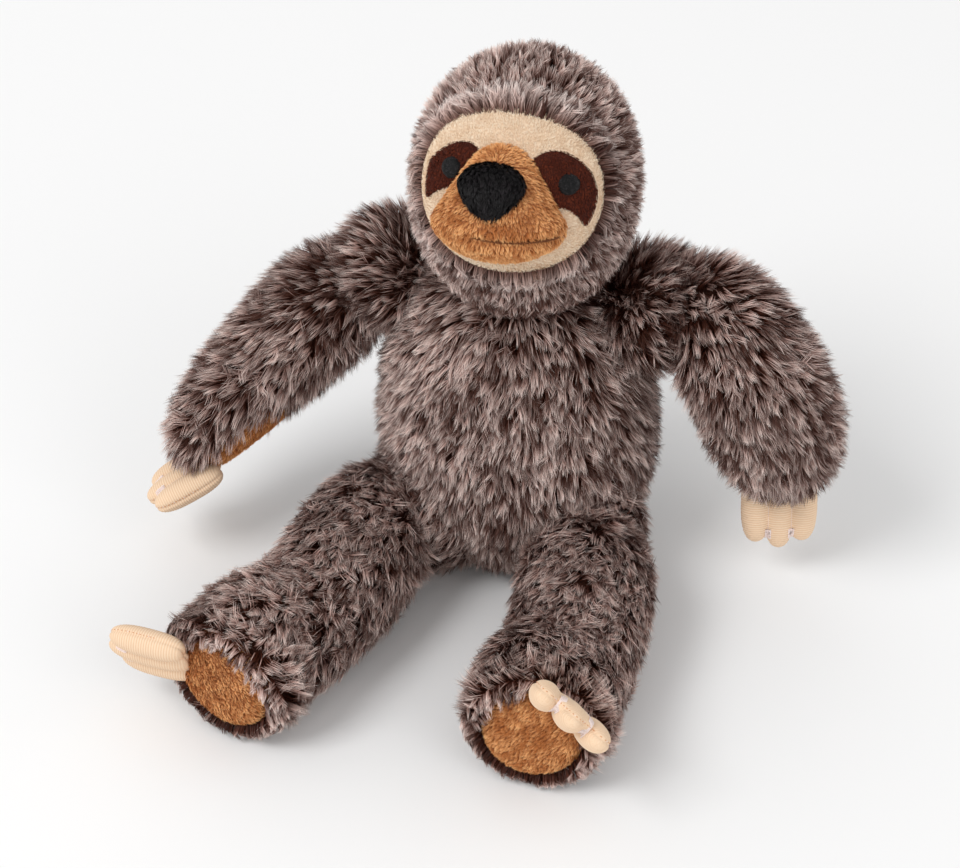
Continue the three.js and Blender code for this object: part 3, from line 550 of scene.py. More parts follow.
def swirl(points, size, seed):
    """A smooth random vector at each point."""
    shift = Vector((seed, seed * 0.7, -seed))
    return np.array([noise.noise_vector(Vector(p / size) + shift) for p in points]).reshape(-1, 3)


def point_tree(points):
    tree = KDTree(len(points))
    for k, p in enumerate(points):
        tree.insert(Vector(p), k)
    tree.balance()
    return tree


def bent(start, normal, direction, size, low, high):
    """The middle and the tip of hairs of two straight halves, each with its own lean from the normal."""
    half = (size * 0.5)[:, None]
    middle = start + (normal * np.cos(low)[:, None] + direction * np.sin(low)[:, None]) * half
    return middle, middle + (normal * np.cos(high)[:, None] + direction * np.sin(high)[:, None]) * half


def grow_hair(name, form, body, slot, per_square, comb, *, shade, length, clump_size=1.75, others=(), bare=None,
              material="fur", width=0.28, lean=(20, 54), clumping=0.66, spread=0.42, wander=0.6, stand=0,
              tone_spread=(0.26, 0.18), painted_glint_share=PAINTED_GLINT_SHARE, halves=False):
    """Hairs in tufts on a form. Each is a thin tapered blade that bends from its root towards its comb direction.

    They are one piece, or two halves, that ride on a body.
    """
    area = form.areas().sum()
    roots, normals, flow = sample_surface(form, int(area * per_square * HAIR_SHARE))
    keep = np.ones(len(roots), bool)
    for tree in others:
        keep &= depth_inside(roots, tree) < BURIED
    if bare is not None:
        keep &= ~bare(roots)
    roots, normals, flow = roots[keep], normals[keep], flow[keep]
    count = len(roots)
    directions = tangent(comb(roots, flow), normals)
    lengths, shades, upright = at_each(length, roots), at_each(shade, roots), at_each(stand, roots)

    # The tufts: each hair belongs to the nearest of some of the roots
    clump_count = max(8, int(area * keep.mean() / clump_size ** 2))
    seeds = rng.choice(count, size=min(clump_count, count), replace=False)
    tree = point_tree(roots[seeds])
    clump = np.array([tree.find(Vector(p))[1] for p in roots])
    jitter = rng.normal(0, spread, (len(seeds), 3)) + wander * swirl(roots[seeds], TURN_PATCH, SEED % 97)
    clump_lean = np.radians(rng.uniform(-TUFT_LEAN, TUFT_LEAN, len(seeds)))
    clump_shade = rng.normal(0, tone_spread[0], len(seeds))
    for strength, size, seed, axis in TONE_PATCHES:
        clump_shade = clump_shade + strength * swirl(roots[seeds], size, SEED % seed)[:, axis]

    # Each hair has its own turn and lean, and is pulled towards its tuft's
    low, high = (np.radians(angle) * (1 - UPRIGHT_SHARE * upright) + clump_lean[clump] for angle in lean)
    own = tangent(directions + jitter[clump] + rng.normal(0, HAIR_TURN, (count, 3)), normals)
    middle, tip = bent(roots, normals, own, lengths * rng.uniform(*HAIR_LENGTHS, count),
                       low + np.radians(rng.uniform(-HAIR_LEAN_LOW, HAIR_LEAN_LOW, count)),
                       high + np.radians(rng.uniform(-HAIR_LEAN_HIGH, HAIR_LEAN_HIGH, count)))
    clump_direction = tangent(directions[seeds] + jitter, normals[seeds])
    clump_middle, clump_tip = bent(roots[seeds], normals[seeds], clump_direction,
                                   lengths[seeds] * rng.uniform(*TUFT_LENGTHS, len(seeds)), low[seeds], high[seeds])
    pull = clumping * rng.uniform(*TUFT_PULL, count)[:, None]
    tip = tip + (clump_tip[clump] - tip) * pull
    middle = middle + (clump_middle[clump] - middle) * pull * MIDDLE_PULL
    for part in (middle, tip):
        part[:, 2] = np.maximum(part[:, 2], FLOOR_CLEARANCE + rng.random(count) * FLOOR_SCATTER)

    # Five points for each blade: two at its root, two at its bend and its tip
    along = unit(tip - roots)
    side = unit(np.cross(along, normals))
    roll = rng.uniform(-HAIR_ROLL, HAIR_ROLL, count)[:, None]
    blade = side * np.cos(roll) + np.cross(along, side) * np.sin(roll)
    half = width / 2 * rng.uniform(*HAIR_WIDTHS, count)[:, None]
    low_side, high_side = blade * half * ROOT_WIDTH, blade * half * MIDDLE_WIDTH
    points = np.stack([roots - low_side, roots + low_side, middle - high_side, middle + high_side, tip], 1)
    tone = shades + clump_shade[clump] + rng.normal(0, tone_spread[1], count)
    # A share of hairs painted paler: painted glints
    tone = np.where(rng.random(count) < painted_glint_share, tone + PAINTED_GLINT_TONE, tone)
    tone = np.clip(tone, TONE_LOW, TONE_HIGH)
    pieces = {name: slice(None)}
    if halves:
        front, back = np.array_split(np.argsort(roots[:, 1]), 2)
        pieces = {f"{name}_front": front, f"{name}_back": back}
    for piece, share in pieces.items():
        place_piece(blade_object(piece, points[share], tone[share], material), body, slot)


def blade_object(name, points, tone, material):
    """One mesh of many blades of five points each, with the tone and the place along the hair as its UV."""
    count = len(tone)
    start = np.arange(count)[:, None] * 5
    corner = (start + np.array([0, 1, 3, 2, 2, 3, 4])).ravel()
    mesh = bpy.data.meshes.new(name)
    mesh.vertices.add(5 * count)
    mesh.vertices.foreach_set("co", (points * MM).astype(np.float32).ravel())
    mesh.loops.add(len(corner))
    mesh.loops.foreach_set("vertex_index", corner.astype(np.int32))
    mesh.polygons.add(2 * count)
    starts = np.stack([np.arange(count) * 7, np.arange(count) * 7 + 4], 1).ravel()
    mesh.polygons.foreach_set("loop_start", starts.astype(np.int32))
    mesh.polygons.foreach_set("loop_total", np.tile([4, 3], count).astype(np.int32))
    mesh.polygons.foreach_set("use_smooth", np.ones(2 * count, bool))
    u = tone[:, None] + np.array([-TONE_EDGE, TONE_EDGE, -TONE_EDGE, TONE_EDGE, 0])
    v = np.tile([0.01, 0.01, 0.5, 0.5, 0.99], (count, 1))
    add_uv(mesh, np.stack([u, v], -1).reshape(-1, 2)[corner])
    mesh.update()
    mesh.validate()
    mesh.materials.append(MATERIALS[material])
    return add_object(name, mesh)


# ---- patches that lie on a form ----

def first_hit(tree, start, direction):
    hit = tree.ray_cast(Vector(start), Vector(direction))
    return None if hit[0] is None else np.array(hit[0])


def oval(width, height, count=64):
    t = np.arange(count) / count * 2 * np.pi
    return np.stack([np.cos(t) * width / 2, np.sin(t) * height / 2], 1)


def smooth_loop(corners, count=96):
    """A closed smooth outline through a few corners."""
    padded = np.concatenate([corners[-2:], corners, corners[:3]])
    places = (2 + np.arange(count) / count * len(corners)) / (len(padded) - 1)
    return catmull(padded, places)


def patch_piece(name, outline, origin, across, up, tree, thickness, material, rings=18, sink=0.6, dome=0.0):
    """A padded patch: an outline seen along its outward axis, laid on the surface below, with a rolled rim.

    Gives the piece, and its upper side as a form.
    """
    out = unit(np.cross(across, up))
    shares = np.concatenate([[0], np.linspace(0, 1, rings + 1)[1:] ** 0.8])
    points = []
    middle = outline.mean(0)
    for share in shares:
        ring = middle + (outline - middle) * share
        rim = math.sqrt(max(0.0, 1 - share ** 8))
        lift = thickness * rim - sink * (1 - rim) + dome * (1 - share ** 2)
        for x, y in (ring if share > 0 else ring[:1]):
            start = origin + across * x + up * y + out * RAY_START
            hit = tree.ray_cast(Vector(start), Vector(-out))
            at, normal = (np.array(hit[0]), np.array(hit[1])) if hit[0] is not None else (start - out * RAY_START, out)
            if normal @ out < 0:
                normal = -normal
            points.append(at + unit(normal * 0.6 + out * 0.4) * lift)
    n, points = len(outline), np.array(points)
    tops = [(0, 1 + k, 1 + (k + 1) % n) for k in range(n)]
    for r in range(rings - 1):
        tops += strip(1 + r * n, 1 + (r + 1) * n, n)
    count, last = len(points), 1 + (rings - 1) * n
    lower = points - out * (thickness + sink + 1.5)
    under = [tuple(i + count for i in reversed(f)) for f in tops]
    obj = mesh_object(name, np.concatenate([points, lower]), tops + under + strip(last, last + count, n), material)
    return obj, Form(points, np.array(tops), np.tile(-up, (count, 1)))


def inside_outline(points, place, share=1):
    """True for points in the prism of an outline, made larger by a share, on its outward side."""
    outline, origin, across, up, out = place
    outline, local = outline * share, points - origin
    d = np.stack([local @ across, local @ up], 1) - outline.mean(0)
    rim = outline - outline.mean(0)
    rim_angle = np.arctan2(rim[:, 1], rim[:, 0])
    order = np.argsort(rim_angle)
    reach = np.interp(np.arctan2(d[:, 1], d[:, 0]), rim_angle[order], np.hypot(*rim.T)[order], period=2 * np.pi)
    return (np.hypot(*d.T) < reach) & (local @ out > 0)


# ---- the pieces ----

def build_skin(name, form, body, slot, nodes):
    points = form.points.copy()
    points[:, 2] = np.maximum(points[:, 2], FLOOR_CLEARANCE)
    place_piece(mesh_object(name, points, form.faces, "skin"), body, slot, *nodes, fill=0.75)


def tube(path, radius, sides=6):
    """A thin closed thread along a few points, with its ends tucked in."""
    path = np.asarray(path, float)
    tangents = unit(np.gradient(path, axis=0))
    helper = UP if abs(tangents.mean(0) @ UP) < 0.9 else BACK
    first = unit(np.cross(tangents, helper))
    second = np.cross(tangents, first)
    sizes = np.full(len(path), radius)
    sizes[0] = sizes[-1] = radius * 0.35
    turn = np.arange(sides) / sides * 2 * np.pi
    rings = (path[:, None] + (first[:, None] * np.cos(turn)[None, :, None]
                              + second[:, None] * np.sin(turn)[None, :, None]) * sizes[:, None, None])
    points, faces = rings.reshape(-1, 3), []
    for r in range(len(path) - 1):
        for k in range(sides):
            j = (k + 1) % sides
            a, b = r * sides, (r + 1) * sides
            faces += [(a + k, a + j, b + j), (a + k, b + j, b + k)]
    last = (len(path) - 1) * sides
    for k in range(1, sides - 1):
        faces += [(0, k + 1, k), (last, last + k, last + k + 1)]
    return points, faces


def sew(name, paths, radius, material, body, slot, *nodes):
    """Threads along paths, as one piece."""
    threads = mesh_object(name, *merge(tube(path, radius) for path in paths), material)
    place_piece(threads, body, slot, *nodes)


def fused(forms, voxel, rounds):
    """One soft surface round several closed forms: as a form, and its faces with four corners."""
    rough = mesh_object("rough", *merge((form.points, form.faces) for form in forms))
    remesh = rough.modifiers.new("remesh", "REMESH")
    remesh.mode = "VOXEL"
    remesh.voxel_size = voxel * MM
    smooth = rough.modifiers.new("smooth", "SMOOTH")
    smooth.iterations = rounds
    mesh = rough.evaluated_get(bpy.context.evaluated_depsgraph_get()).to_mesh()
    out = np.empty(len(mesh.vertices) * 3, np.float32)
    mesh.vertices.foreach_get("co", out)
    quads = [tuple(p.vertices) for p in mesh.polygons]
    points = out.reshape(-1, 3).astype(float) / MM
    bpy.data.objects.remove(rough, do_unlink=True)
    faces = np.array([t for q in quads for t in ((q[0], q[1], q[2]), (q[0], q[2], q[3]))])
    return Form(points, faces, np.tile(UP, (len(points), 1))), quads


def laid(tree, places, out, lift):
    """Places pressed onto a surface from outside, and lifted off it a little."""
    hits = [first_hit(tree, place + out * CLAW_RAY, -out) for place in places]
    return [hit + out * lift for hit in hits if hit is not None]


def dashes(path, share, step=1):
    """Short threads along a path of points, with a gap after each."""
    return [[a, (a + b) / 2, a + (b - a) * share] for a, b in zip(path[:-1:step], path[1::step])]


def build_claws(label, root, along, axis, fan, web_back):
    """A mitt of two ribbed layers: three stuffed fingers, stitched between and along the edge.

    It is on the body of its label. Its long axis, the row of its fingers and its thickness lie along, axis and deep.
    """
    deep = unit(np.cross(along, axis))
    fingers, forms = [], []
    for i in range(CLAWS):
        step = i - (CLAWS - 1) / 2
        length = CLAW_LENGTH + (CLAW_MIDDLE_EXTRA if step == 0 else 0)
        start, aim = root + axis * step * CLAW_PITCH, unit(along + axis * fan * np.sign(step))
        fingers.append((start, aim))
        forms.append(stuffed_form(even_route([start, start + aim * length]), CLAW_WIDTH / 2 + FINGER_PADDING[0],
                                  CLAW_THICKNESS / 2 + FINGER_PADDING[1], deep, (3, 2.5), 40, 60))
    back = root + deep * web_back
    forms.append(stuffed_form(even_route([back, back + along * CLAW_LENGTH * WEB_LENGTH_SHARE]),
                              CLAW_PITCH * (1 + fan), CLAW_THICKNESS * WEB_HALF_SHARE, deep, (4, 3), 60, 40))
    form, quads = fused(forms, KNIT_VOXEL, KNIT_ROUNDS)
    local = form.points - root
    height, run, wide = local @ deep - web_back, local @ along, local @ axis
    at_end = (form.normals @ along) ** 2
    edge = -EDGE_DEPTH * np.exp(-(height / EDGE_WIDTH) ** 2)
    ribs = RIB_RISE * np.sin(run * 2 * np.pi / RIB_PITCH) * (1 - at_end)
    form.points += form.normals * (KNIT_SWELL + edge + ribs)[:, None]
    knit = mesh_object(f"{label}_knit", form.points, quads, "knit")
    corners = np.array([i for q in quads for i in q])
    uv = np.stack([wide / RIB_SPAN / 2 + 0.5, run / RIB_SPAN], -1)
    add_uv(knit.data, uv[corners])
    ends = knit.data.attributes.new("finger_end", "FLOAT", "POINT")
    ends.data.foreach_set("value", np.clip(at_end * 1.7, 0, 1).astype(np.float32))
    place_piece(knit, label, "ribbed_knit", f"claws_{label}", fill=0.7)

    tree = form.tree()
    middle = root + along * RIM_MIDDLE
    rim = []
    for turn in np.radians(np.arange(-RIM_TURN, RIM_TURN + 0.1, RIM_STEP)):
        ray = along * math.cos(turn) + axis * math.sin(turn)
        hit = first_hit(tree, middle + ray * RAY_START + deep * (RIM_HEIGHT + web_back), -ray)
        if hit is not None:
            rim.append(hit + ray * RIM_LIFT)
    sew(f"{label}_edge_stitches", dashes(rim, LONG_STITCH_SHARE, 2), EDGE_THREAD, "stitch", label, "pale_thread")
    pale = dashes(rim[3:], STITCH_SHARE, 3)
    for (first, first_aim), (second, second_aim) in zip(fingers[:-1], fingers[1:]):
        valley = [(first + first_aim * reach + second + second_aim * reach) / 2
                  for reach in CLAW_LENGTH * np.linspace(LINE_FROM, LINE_TO, LINE_PLACES)]
        for face in (-1, 1):
            pale += dashes(laid(tree, valley, deep * face, LINE_LIFT), LONG_STITCH_SHARE)
    sew(f"{label}_line_stitches", pale, LINE_THREAD, "thread", label, "pale_thread")
    return tree


def build_tack(label, notch, root, along, axis, fan, mitt_tree):
    """A bar of thread wound over the edge in the notch between two fingers."""
    reach = CLAW_LENGTH - TACK_BACK
    offset = (notch - (CLAWS - 2) / 2) * (CLAW_PITCH + fan * reach)
    middle = root + axis * offset + along * reach
    deep = unit(np.cross(along, axis))
    edge = first_hit(mitt_tree, middle + along * CLAW_RAY, -along)
    wound = []
    for k in range(TACK_THREADS):
        place = edge + axis * (k - (TACK_THREADS - 1) / 2) * TACK_PITCH
        back = [place - along * step for step in np.linspace(TACK_LENGTH, TACK_END, 8)]
        over, under = (laid(mitt_tree, back, deep * face, TACK_LIFT) for face in (1, -1))
        wound.append(over + [place + along * TACK_END] + under[::-1])
    name = f"tack_{label}_{notch + 1}"
    sew(f"{name}_thread", wound, TACK_THREAD, "thread", label, "pale_thread", name)


def square_to(axis, direction):
    """The direction turned square to an axis."""
    direction = np.array(direction, float)
    return unit(direction - axis * (direction @ axis))


def build_mitt(label, root, limb):
    along = unit(limb["claws"])
    axis = square_to(along, limb["across"])
    root = root - along * CLAW_SINK
    fan = limb.get("fan", 0)
    mitt_tree = build_claws(label, root, along, axis, fan, limb.get("web_back", 0))
    for notch in range(CLAWS - 1):
        build_tack(label, notch, root, along, axis, fan, mitt_tree)
    return mitt_tree


def sole_frame(leg):
    """The middle of a sole, its outward axis and its axis to the toes."""
    out = unit(leg["sole"])
    end, _ = leg_route(leg)(np.array([1.0]))
    return end[0] - UP * SOLE_DROP, out, square_to(out, leg["toe"])


torso_skin = torso_form.grown(-SKIN_DEPTH)
head_skin = head_form.grown(-SKIN_DEPTH)
panel_form, muzzle_form, nose_form = face_form(**PANEL), face_form(**MUZZLE), face_form(**NOSE)
torso_tree, head_tree, panel_tree = torso_skin.tree(), head_skin.tree(), panel_form.tree()

build_skin("torso_skin", torso_skin, "torso", "frosted_fur", ["torso_cover", "torso_fill"])
build_skin("head_skin", head_skin, "head", "frosted_fur", ["head_cover", "head_fill"])

# The mouth is a line pressed into the muzzle, with a lip above and below it
mouth_starts = [face_point(MOUTH_ASIDE + t * MOUTH_HALF, -100, MOUTH_HEIGHT + MOUTH_CURVE * t * t + MOUTH_TILT * t)
                for t in np.linspace(-1, 1, 60)]
muzzle_tree = muzzle_form.tree()
mouth_hits = [first_hit(muzzle_tree, start, FACE_Y) for start in mouth_starts]
mouth_line = np.array([hit for hit in mouth_hits if hit is not None])
mouth_tree = point_tree(mouth_line)


def mouth_distance(points):
    return np.array([mouth_tree.find(Vector(p))[2] for p in points])


off_mouth = mouth_distance(muzzle_form.points)
press = -MOUTH_DEPTH * np.exp(-(off_mouth / MOUTH_WIDTH) ** 2)
press += LIP_RISE * np.exp(-((off_mouth - LIP_AWAY) / LIP_WIDTH) ** 2)
muzzle_form = muzzle_form.grown(press[:, None])
muzzle_tree = muzzle_form.tree()

# The face
for name, node_name, form, slot, material in (
        ("face_panel_velour", "face_panel", panel_form, "cream_velour", "cream"),
        ("muzzle_velour", "muzzle", muzzle_form, "tan_velour", "tan"),
        ("nose_pad", "nose", nose_form, "black_pile", "black")):
    place_piece(mesh_object(name, form.points, form.faces, material), "head", slot, node_name, fill=0.8)
sew("mouth_thread", [[p + FACE_Y * MOUTH_LIFT for p in mouth_line]], MOUTH_THREAD, "seam", "head", "brown_thread",
    "mouth_seam")

# Outlines of the eye patches, in shares of their width and height
EYE_PATCH = {
    "left": np.array([
        [-0.55, 0.28], [-0.4, 0.4], [-0.2, 0.43], [0.07, 0.34], [0.29, 0.16], [0.4, -0.1], [0.38, -0.36],
        [0.28, -0.56], [0.18, -0.44], [0, -0.33], [-0.2, -0.3], [-0.33, -0.12], [-0.44, 0.12]]),
    "right": np.array([
        [-0.42, 0.22], [-0.33, 0.32], [-0.22, 0.36], [0.02, 0.32], [0.22, 0.2], [0.38, 0.04], [0.42, -0.12],
        [0.4, -0.46], [0.25, -0.36], [0.05, -0.26], [-0.1, -0.22], [-0.26, -0.06], [-0.36, 0.1]]),
}


pads, patch_places = [], []
for name, side in (("left", 1), ("right", -1)):
    outline = smooth_loop(EYE_PATCH[name]) * np.array([PATCH_WIDTH * side, PATCH_HEIGHT])
    if side > 0:
        outline = outline[::-1]
    origin = face_point(side * EYE_SPREAD + EYE_ASIDE, 0, EYE_HEIGHT - side * EYE_TILT)
    patch, face = patch_piece(f"eye_patch_{name}_velour", outline, origin, FACE_X, FACE_Z, panel_tree, 1.0, "russet")
    place_piece(patch, "head", "russet_velour", f"eye_patch_{name}")
    pads.append((f"eye_patch_{name}_nap", face, "head", "russet_velour", "russet_pile", 1.2))
    patch_places.append((outline, origin + FACE_Y * 40, FACE_X, FACE_Z, -FACE_Y))
    eye, face = patch_piece(f"eye_{name}_pad", oval(EYE_SIZE, EYE_SIZE), origin, FACE_X, FACE_Z, panel_tree, 1.8,
                            "eye", rings=8, sink=-0.6, dome=0.3)
    place_piece(eye, "head", "black_embroidery", f"eye_{name}")
    eye_tree, rows = face.tree(), []
    for k in range(EYE_ROWS):
        z = (k - (EYE_ROWS - 1) // 2) * EYE_ROW_PITCH
        half = math.sqrt(EYE_ROW_REACH ** 2 - z ** 2) if abs(z) < EYE_ROW_REACH else 0
        if half < EYE_ROW_LEAST:
            continue
        row = []
        for x in np.linspace(-half, half, 9):
            start = origin + FACE_X * x + FACE_Z * (z + rng.normal(0, EYE_ROW_WAVER)) - FACE_Y * RAY_START
            hit = first_hit(eye_tree, start, FACE_Y)
            if hit is not None:
                row.append(hit - FACE_Y * rng.uniform(*EYE_ROW_LIFTS))
        if len(row) > 2:
            rows.append(row)
    sew(f"eye_{name}_stitches", rows, EYE_THREAD, "eye", "head", "black_embroidery")

# The limbs
limb_forms, bare_places, mitt_trees = {}, {}, {}


def build_limb(limb, form, ball):
    """The cloth of a limb, with the ball by which it is sewn on."""
    limb_forms[limb] = form.grown(-SKIN_DEPTH).joined(ball)
    build_skin(f"{limb}_skin", limb_forms[limb], limb, "dark_fur", [f"{limb}_cover", f"{limb}_fill"])


def build_pad(label, limb, place, form, nap_length, dome):
    """A velour patch on a limb. Its place is its outline, origin, two axes and outward axis."""
    pad, face = patch_piece(f"{label}_velour", *place[:4], form.tree(), 1.2, "tan", sink=3.0, dome=dome)
    place_piece(pad, limb, "tan_velour", label)
    pads.append((f"{label}_nap", face, limb, "tan_velour", "tan_pile", nap_length))
    bare_places[limb] = place


for name, arm in ARMS.items():
    limb, side_axis = f"arm_{name}", np.array([float(arm["side"]), 0, 0])
    build_limb(limb, arm_form(arm), ball_form(arm_pivot(arm), SHOULDER_BALL - 2 * SKIN_DEPTH, side_axis))
    end, along_end = arm_route(arm)(np.array([1.0]))
    end, back = end[0], -along_end[0]
    out = square_to(back, arm["palm"])
    place = oval(PALM_WIDTH, PALM_LENGTH), end + back * PALM_BACK, np.cross(back, out), back, out
    build_pad(f"palm_{name}", limb, place, arm_form(arm), nap_length=2.2, dome=0)
    build_mitt(f"hand_{name}", end + unit(arm["palm"]) * arm["claws_in"] * ARM_DEPTH / 2, arm)

for name, leg in LEGS.items():
    limb = f"leg_{name}"
    build_limb(limb, leg_form(leg), ball_form(leg_pivot(leg), HIP_BALL - 2 * SKIN_DEPTH, -BACK))
    middle, out, toe = sole_frame(leg)
    place = oval(SOLE_WIDTH, SOLE_LENGTH), middle - out * SOLE_LENGTH / 2, np.cross(toe, out), toe, out
    build_pad(f"sole_{name}", limb, place, leg_form(leg), nap_length=2.3, dome=0.6)
    mitt_trees[limb] = build_mitt(f"foot_{name}", middle + toe * SOLE_LENGTH / 2, leg)

# ---- where the hair grows, and where it points ----

# How far from a place the hair still turns for it or changes its tone
HEAD_REACH, SHOULDER_REACH, ROOT_REACH, SIDE_REACH = 50, 34, 22, 40
PANEL_REACH, NECK_REACH, CHIN_DROP, CHIN_REACH, CHIN_DEPTH = 6, 9, 14, 14, 20
SOLE_REACH, SOLE_RIM_REACH, SOLE_BULGE = 13, 5, 9
RIDGE_BEHIND, RIDGE_REACH = 11, 6
head_edge_tree = head_form.grown(1).tree()


def before_face(points):
    """How far points lie before the head's middle, towards the face."""
    return (points - HEAD_MIDDLE) @ -FACE_Y


def down_beside(roots):
    """More of it from the top of the head to the chin."""
    return -UP * np.clip(0.75 - (roots - HEAD_MIDDLE)[:, 2:] / HEAD_REACH, 0, 1.3)


def head_comb(roots, flow):
    """Away from the top of the face, down beside it and at the back."""
    forward = before_face(roots) / HEAD_REACH
    behind = np.clip((0.2 - forward) / 0.7, 0, 1)[:, None]
    return from_face(roots, flow) * (1 - behind) + np.array([0, 0.1, -1.0]) * behind


def under_panel(roots):
    return (depth_inside(roots, panel_tree) > 0.3) & (before_face(roots) > 0)


def beside_panel(roots):
    """1 at the rim of the face panel, less away from it."""
    return 0.15 * np.exp(np.minimum(depth_inside(roots, panel_tree, 30.0), 0) / PANEL_REACH)


def from_face(roots, flow):
    return unit(roots - face_point(1.3, -40, 2.2)) + down_beside(roots)


def seen_face(roots):
    """The part of the face panel that no fur is sewn over."""
    return (depth_inside(roots, head_edge_tree) < 0) | (before_face(roots) < 0)


def chin(roots):
    """1 under the face, 0 from the cheeks up and at the back."""
    low = np.clip((HEAD_MIDDLE[2] - CHIN_DROP - roots[:, 2]) / CHIN_REACH, 0, 1)
    return low * np.clip((HEAD_MIDDLE[1] - roots[:, 1]) / CHIN_DEPTH, 0, 1)


def torso_comb(roots, flow):
    """Down, and out over the shoulders."""
    down = np.tile([0, 0, -1.0], (len(roots), 1))
    for arm in ARMS.values():
        away = roots - arm_pivot(arm)
        near = np.clip(1 - np.linalg.norm(away, axis=1) / SHOULDER_REACH, 0, 1)[:, None]
        down = down + near * np.array([1.6 * arm["side"], -0.2, 0.2])
    return down


def at_root(pivot, roots):
    """1 where a limb is sewn on, less away from it."""
    return np.exp(-np.linalg.norm(roots - pivot, axis=1) / ROOT_REACH)


def behind_sole(leg, roots):
    """How far roots lie behind the sole."""
    place, out, _ = sole_frame(leg)
    return (place - roots) @ out


def foot_comb(leg, pivot):
    """Along the leg, then a ridge that stands, then forward and down round the sole."""
    place, out, _ = sole_frame(leg)

    def comb(roots, flow):
        behind = behind_sole(leg, roots)
        near = np.clip(1.35 - behind / SOLE_REACH, 0, 1)[:, None]
        rim = np.clip(1.5 - behind / SOLE_RIM_REACH, 0, 1)[:, None]
        round_sole = unit(roots - (place + out * SOLE_BULGE)) * (1 - rim)
        aside = unit(roots - place)
        over_sole = (aside * (0.5 - 1.2 * np.maximum(aside[:, 2:], 0)) + out * 0.7 - UP * 0.3) * rim
        return flow * (1 - near) + (round_sole + over_sole) * near * 1.4

    def stand(roots):
        ridge = np.exp(-((behind_sole(leg, roots) - RIDGE_BEHIND) / RIDGE_REACH) ** 2)
        return np.maximum(0.55 * ridge, 0.35 * at_root(pivot, roots))

    return comb, stand


def rim_comb(leg):
    """Over the sole at its top, away from it at its sides and its bottom."""
    place, out, _ = sole_frame(leg)

    def comb(roots, flow):
        aside = unit(roots - place)
        return aside * (0.6 - 1.7 * np.maximum(aside[:, 2:], 0)) + out * 0.6 - UP * 0.3

    return comb


def off_rim(name):
    """All but a band round the sole, clear of the mitt."""
    place = bare_places[name]

    def bare(roots):
        band = inside_outline(roots, place, 1.27) & ~inside_outline(roots, place, 1.01)
        return ~band | (depth_inside(roots, mitt_trees[name], 10.0) > -1)

    return bare


def sole_bare(name):
    """The sole, but for a little of its lower rim."""
    outline, _, across, up, _ = bare_places[name]
    rise = unit(outline) @ np.array([across @ UP, up @ UP])
    shares = 1.0 - 0.07 * np.maximum(-rise, 0)
    return lambda roots: inside_outline(roots, bare_places[name], shares[:, None])


def under_head(roots):
    """1 where the torso meets the head, less away from it."""
    return np.exp(np.minimum(depth_inside(roots, head_tree, 40.0), 0) / NECK_REACH)


def to_right(roots):
    """1 on the toy's right side, -1 on its left."""
    return np.clip(-roots[:, 0] / SIDE_REACH, -1, 1)


# Paler on the toy's right side and darker towards the bottom; darker where the torso meets the head: painted shadow of
# the head
def torso_shade(roots):
    return 0.56 + 0.13 * to_right(roots) - 0.16 * np.clip(1.9 - roots[:, 2] / 60, 0, 1) - 0.2 * under_head(roots)


def rim_shade(roots):
    """Pale to the left of the face, dark to the upper right of it, and darker under the chin as painted shade."""
    beside = (roots - face_point(0, -40, 14)) @ unit(FACE_X + 0.5 * FACE_Z) / 34
    return 0.75 - 0.45 * np.clip(beside, 0, 1) - 0.35 * chin(roots)


# Darker under the chin: painted shade under the face
def head_shade(roots):
    return 0.5 + 0.07 * to_right(roots) - 0.36 * chin(roots)


def with_flow(roots, flow):
    return flow


grow_hair("head_fur", head_skin, "head", "frosted_fur", DENSITY, head_comb, shade=head_shade, others=[torso_tree],
          bare=under_panel, length=HAIR_LENGTH - 3.4, halves=True,
          stand=lambda roots: beside_panel(roots) - 0.6 * chin(roots))
grow_hair("face_rim_fur", panel_form, "head", "frosted_fur", DENSITY * 1.6, from_face, shade=rim_shade, length=10.5,
          others=[torso_tree], bare=seen_face, material="rim", lean=(26, 72))
grow_hair("torso_fur", torso_skin, "torso", "frosted_fur", DENSITY, torso_comb, shade=torso_shade,
          length=HAIR_LENGTH, halves=True, stand=lambda roots: 0.5 * under_head(roots),
          others=[head_tree] + [form.tree() for form in limb_forms.values()])
for name, arm in ARMS.items():
    limb, pivot = f"arm_{name}", arm_pivot(arm)
    grow_hair(f"{limb}_fur", limb_forms[limb], limb, "dark_fur", DENSITY, with_flow, shade=arm["shade"],
              length=HAIR_LENGTH, others=[torso_tree], stand=lambda roots: 0.4 * at_root(pivot, roots),
              bare=lambda roots: inside_outline(roots, bare_places[limb], 1.12))
for name, leg in LEGS.items():
    limb = f"leg_{name}"
    comb, stand = foot_comb(leg, leg_pivot(leg))
    # Longer and paler towards the sole
    grow_hair(f"{limb}_fur", limb_forms[limb], limb, "dark_fur", DENSITY, comb, others=[torso_tree], stand=stand,
              length=lambda roots: HAIR_LENGTH + 2.5 * np.clip(1.2 - behind_sole(leg, roots) / 8, 0, 1),
              shade=lambda roots: 0.62 + 0.14 * np.clip(1 - behind_sole(leg, roots) / 30, 0, 1),
              bare=sole_bare(limb), lean=(38, 78), wander=1.0, spread=0.55, halves=True)
    grow_hair(f"foot_{name}_rim_fur", leg_form(leg).grown(0.2), limb, "dark_fur", DENSITY * 1.5, rim_comb(leg),
              shade=0.5, length=8.5, bare=off_rim(limb), lean=(6, 80))


def under_muzzle(roots):
    """Where the panel lies under the muzzle or a patch, and its back."""
    hidden = (depth_inside(roots, muzzle_tree) > -0.5) | (before_face(roots) < 20)
    for place in patch_places:
        hidden |= inside_outline(roots, place, 1.04)
    return hidden


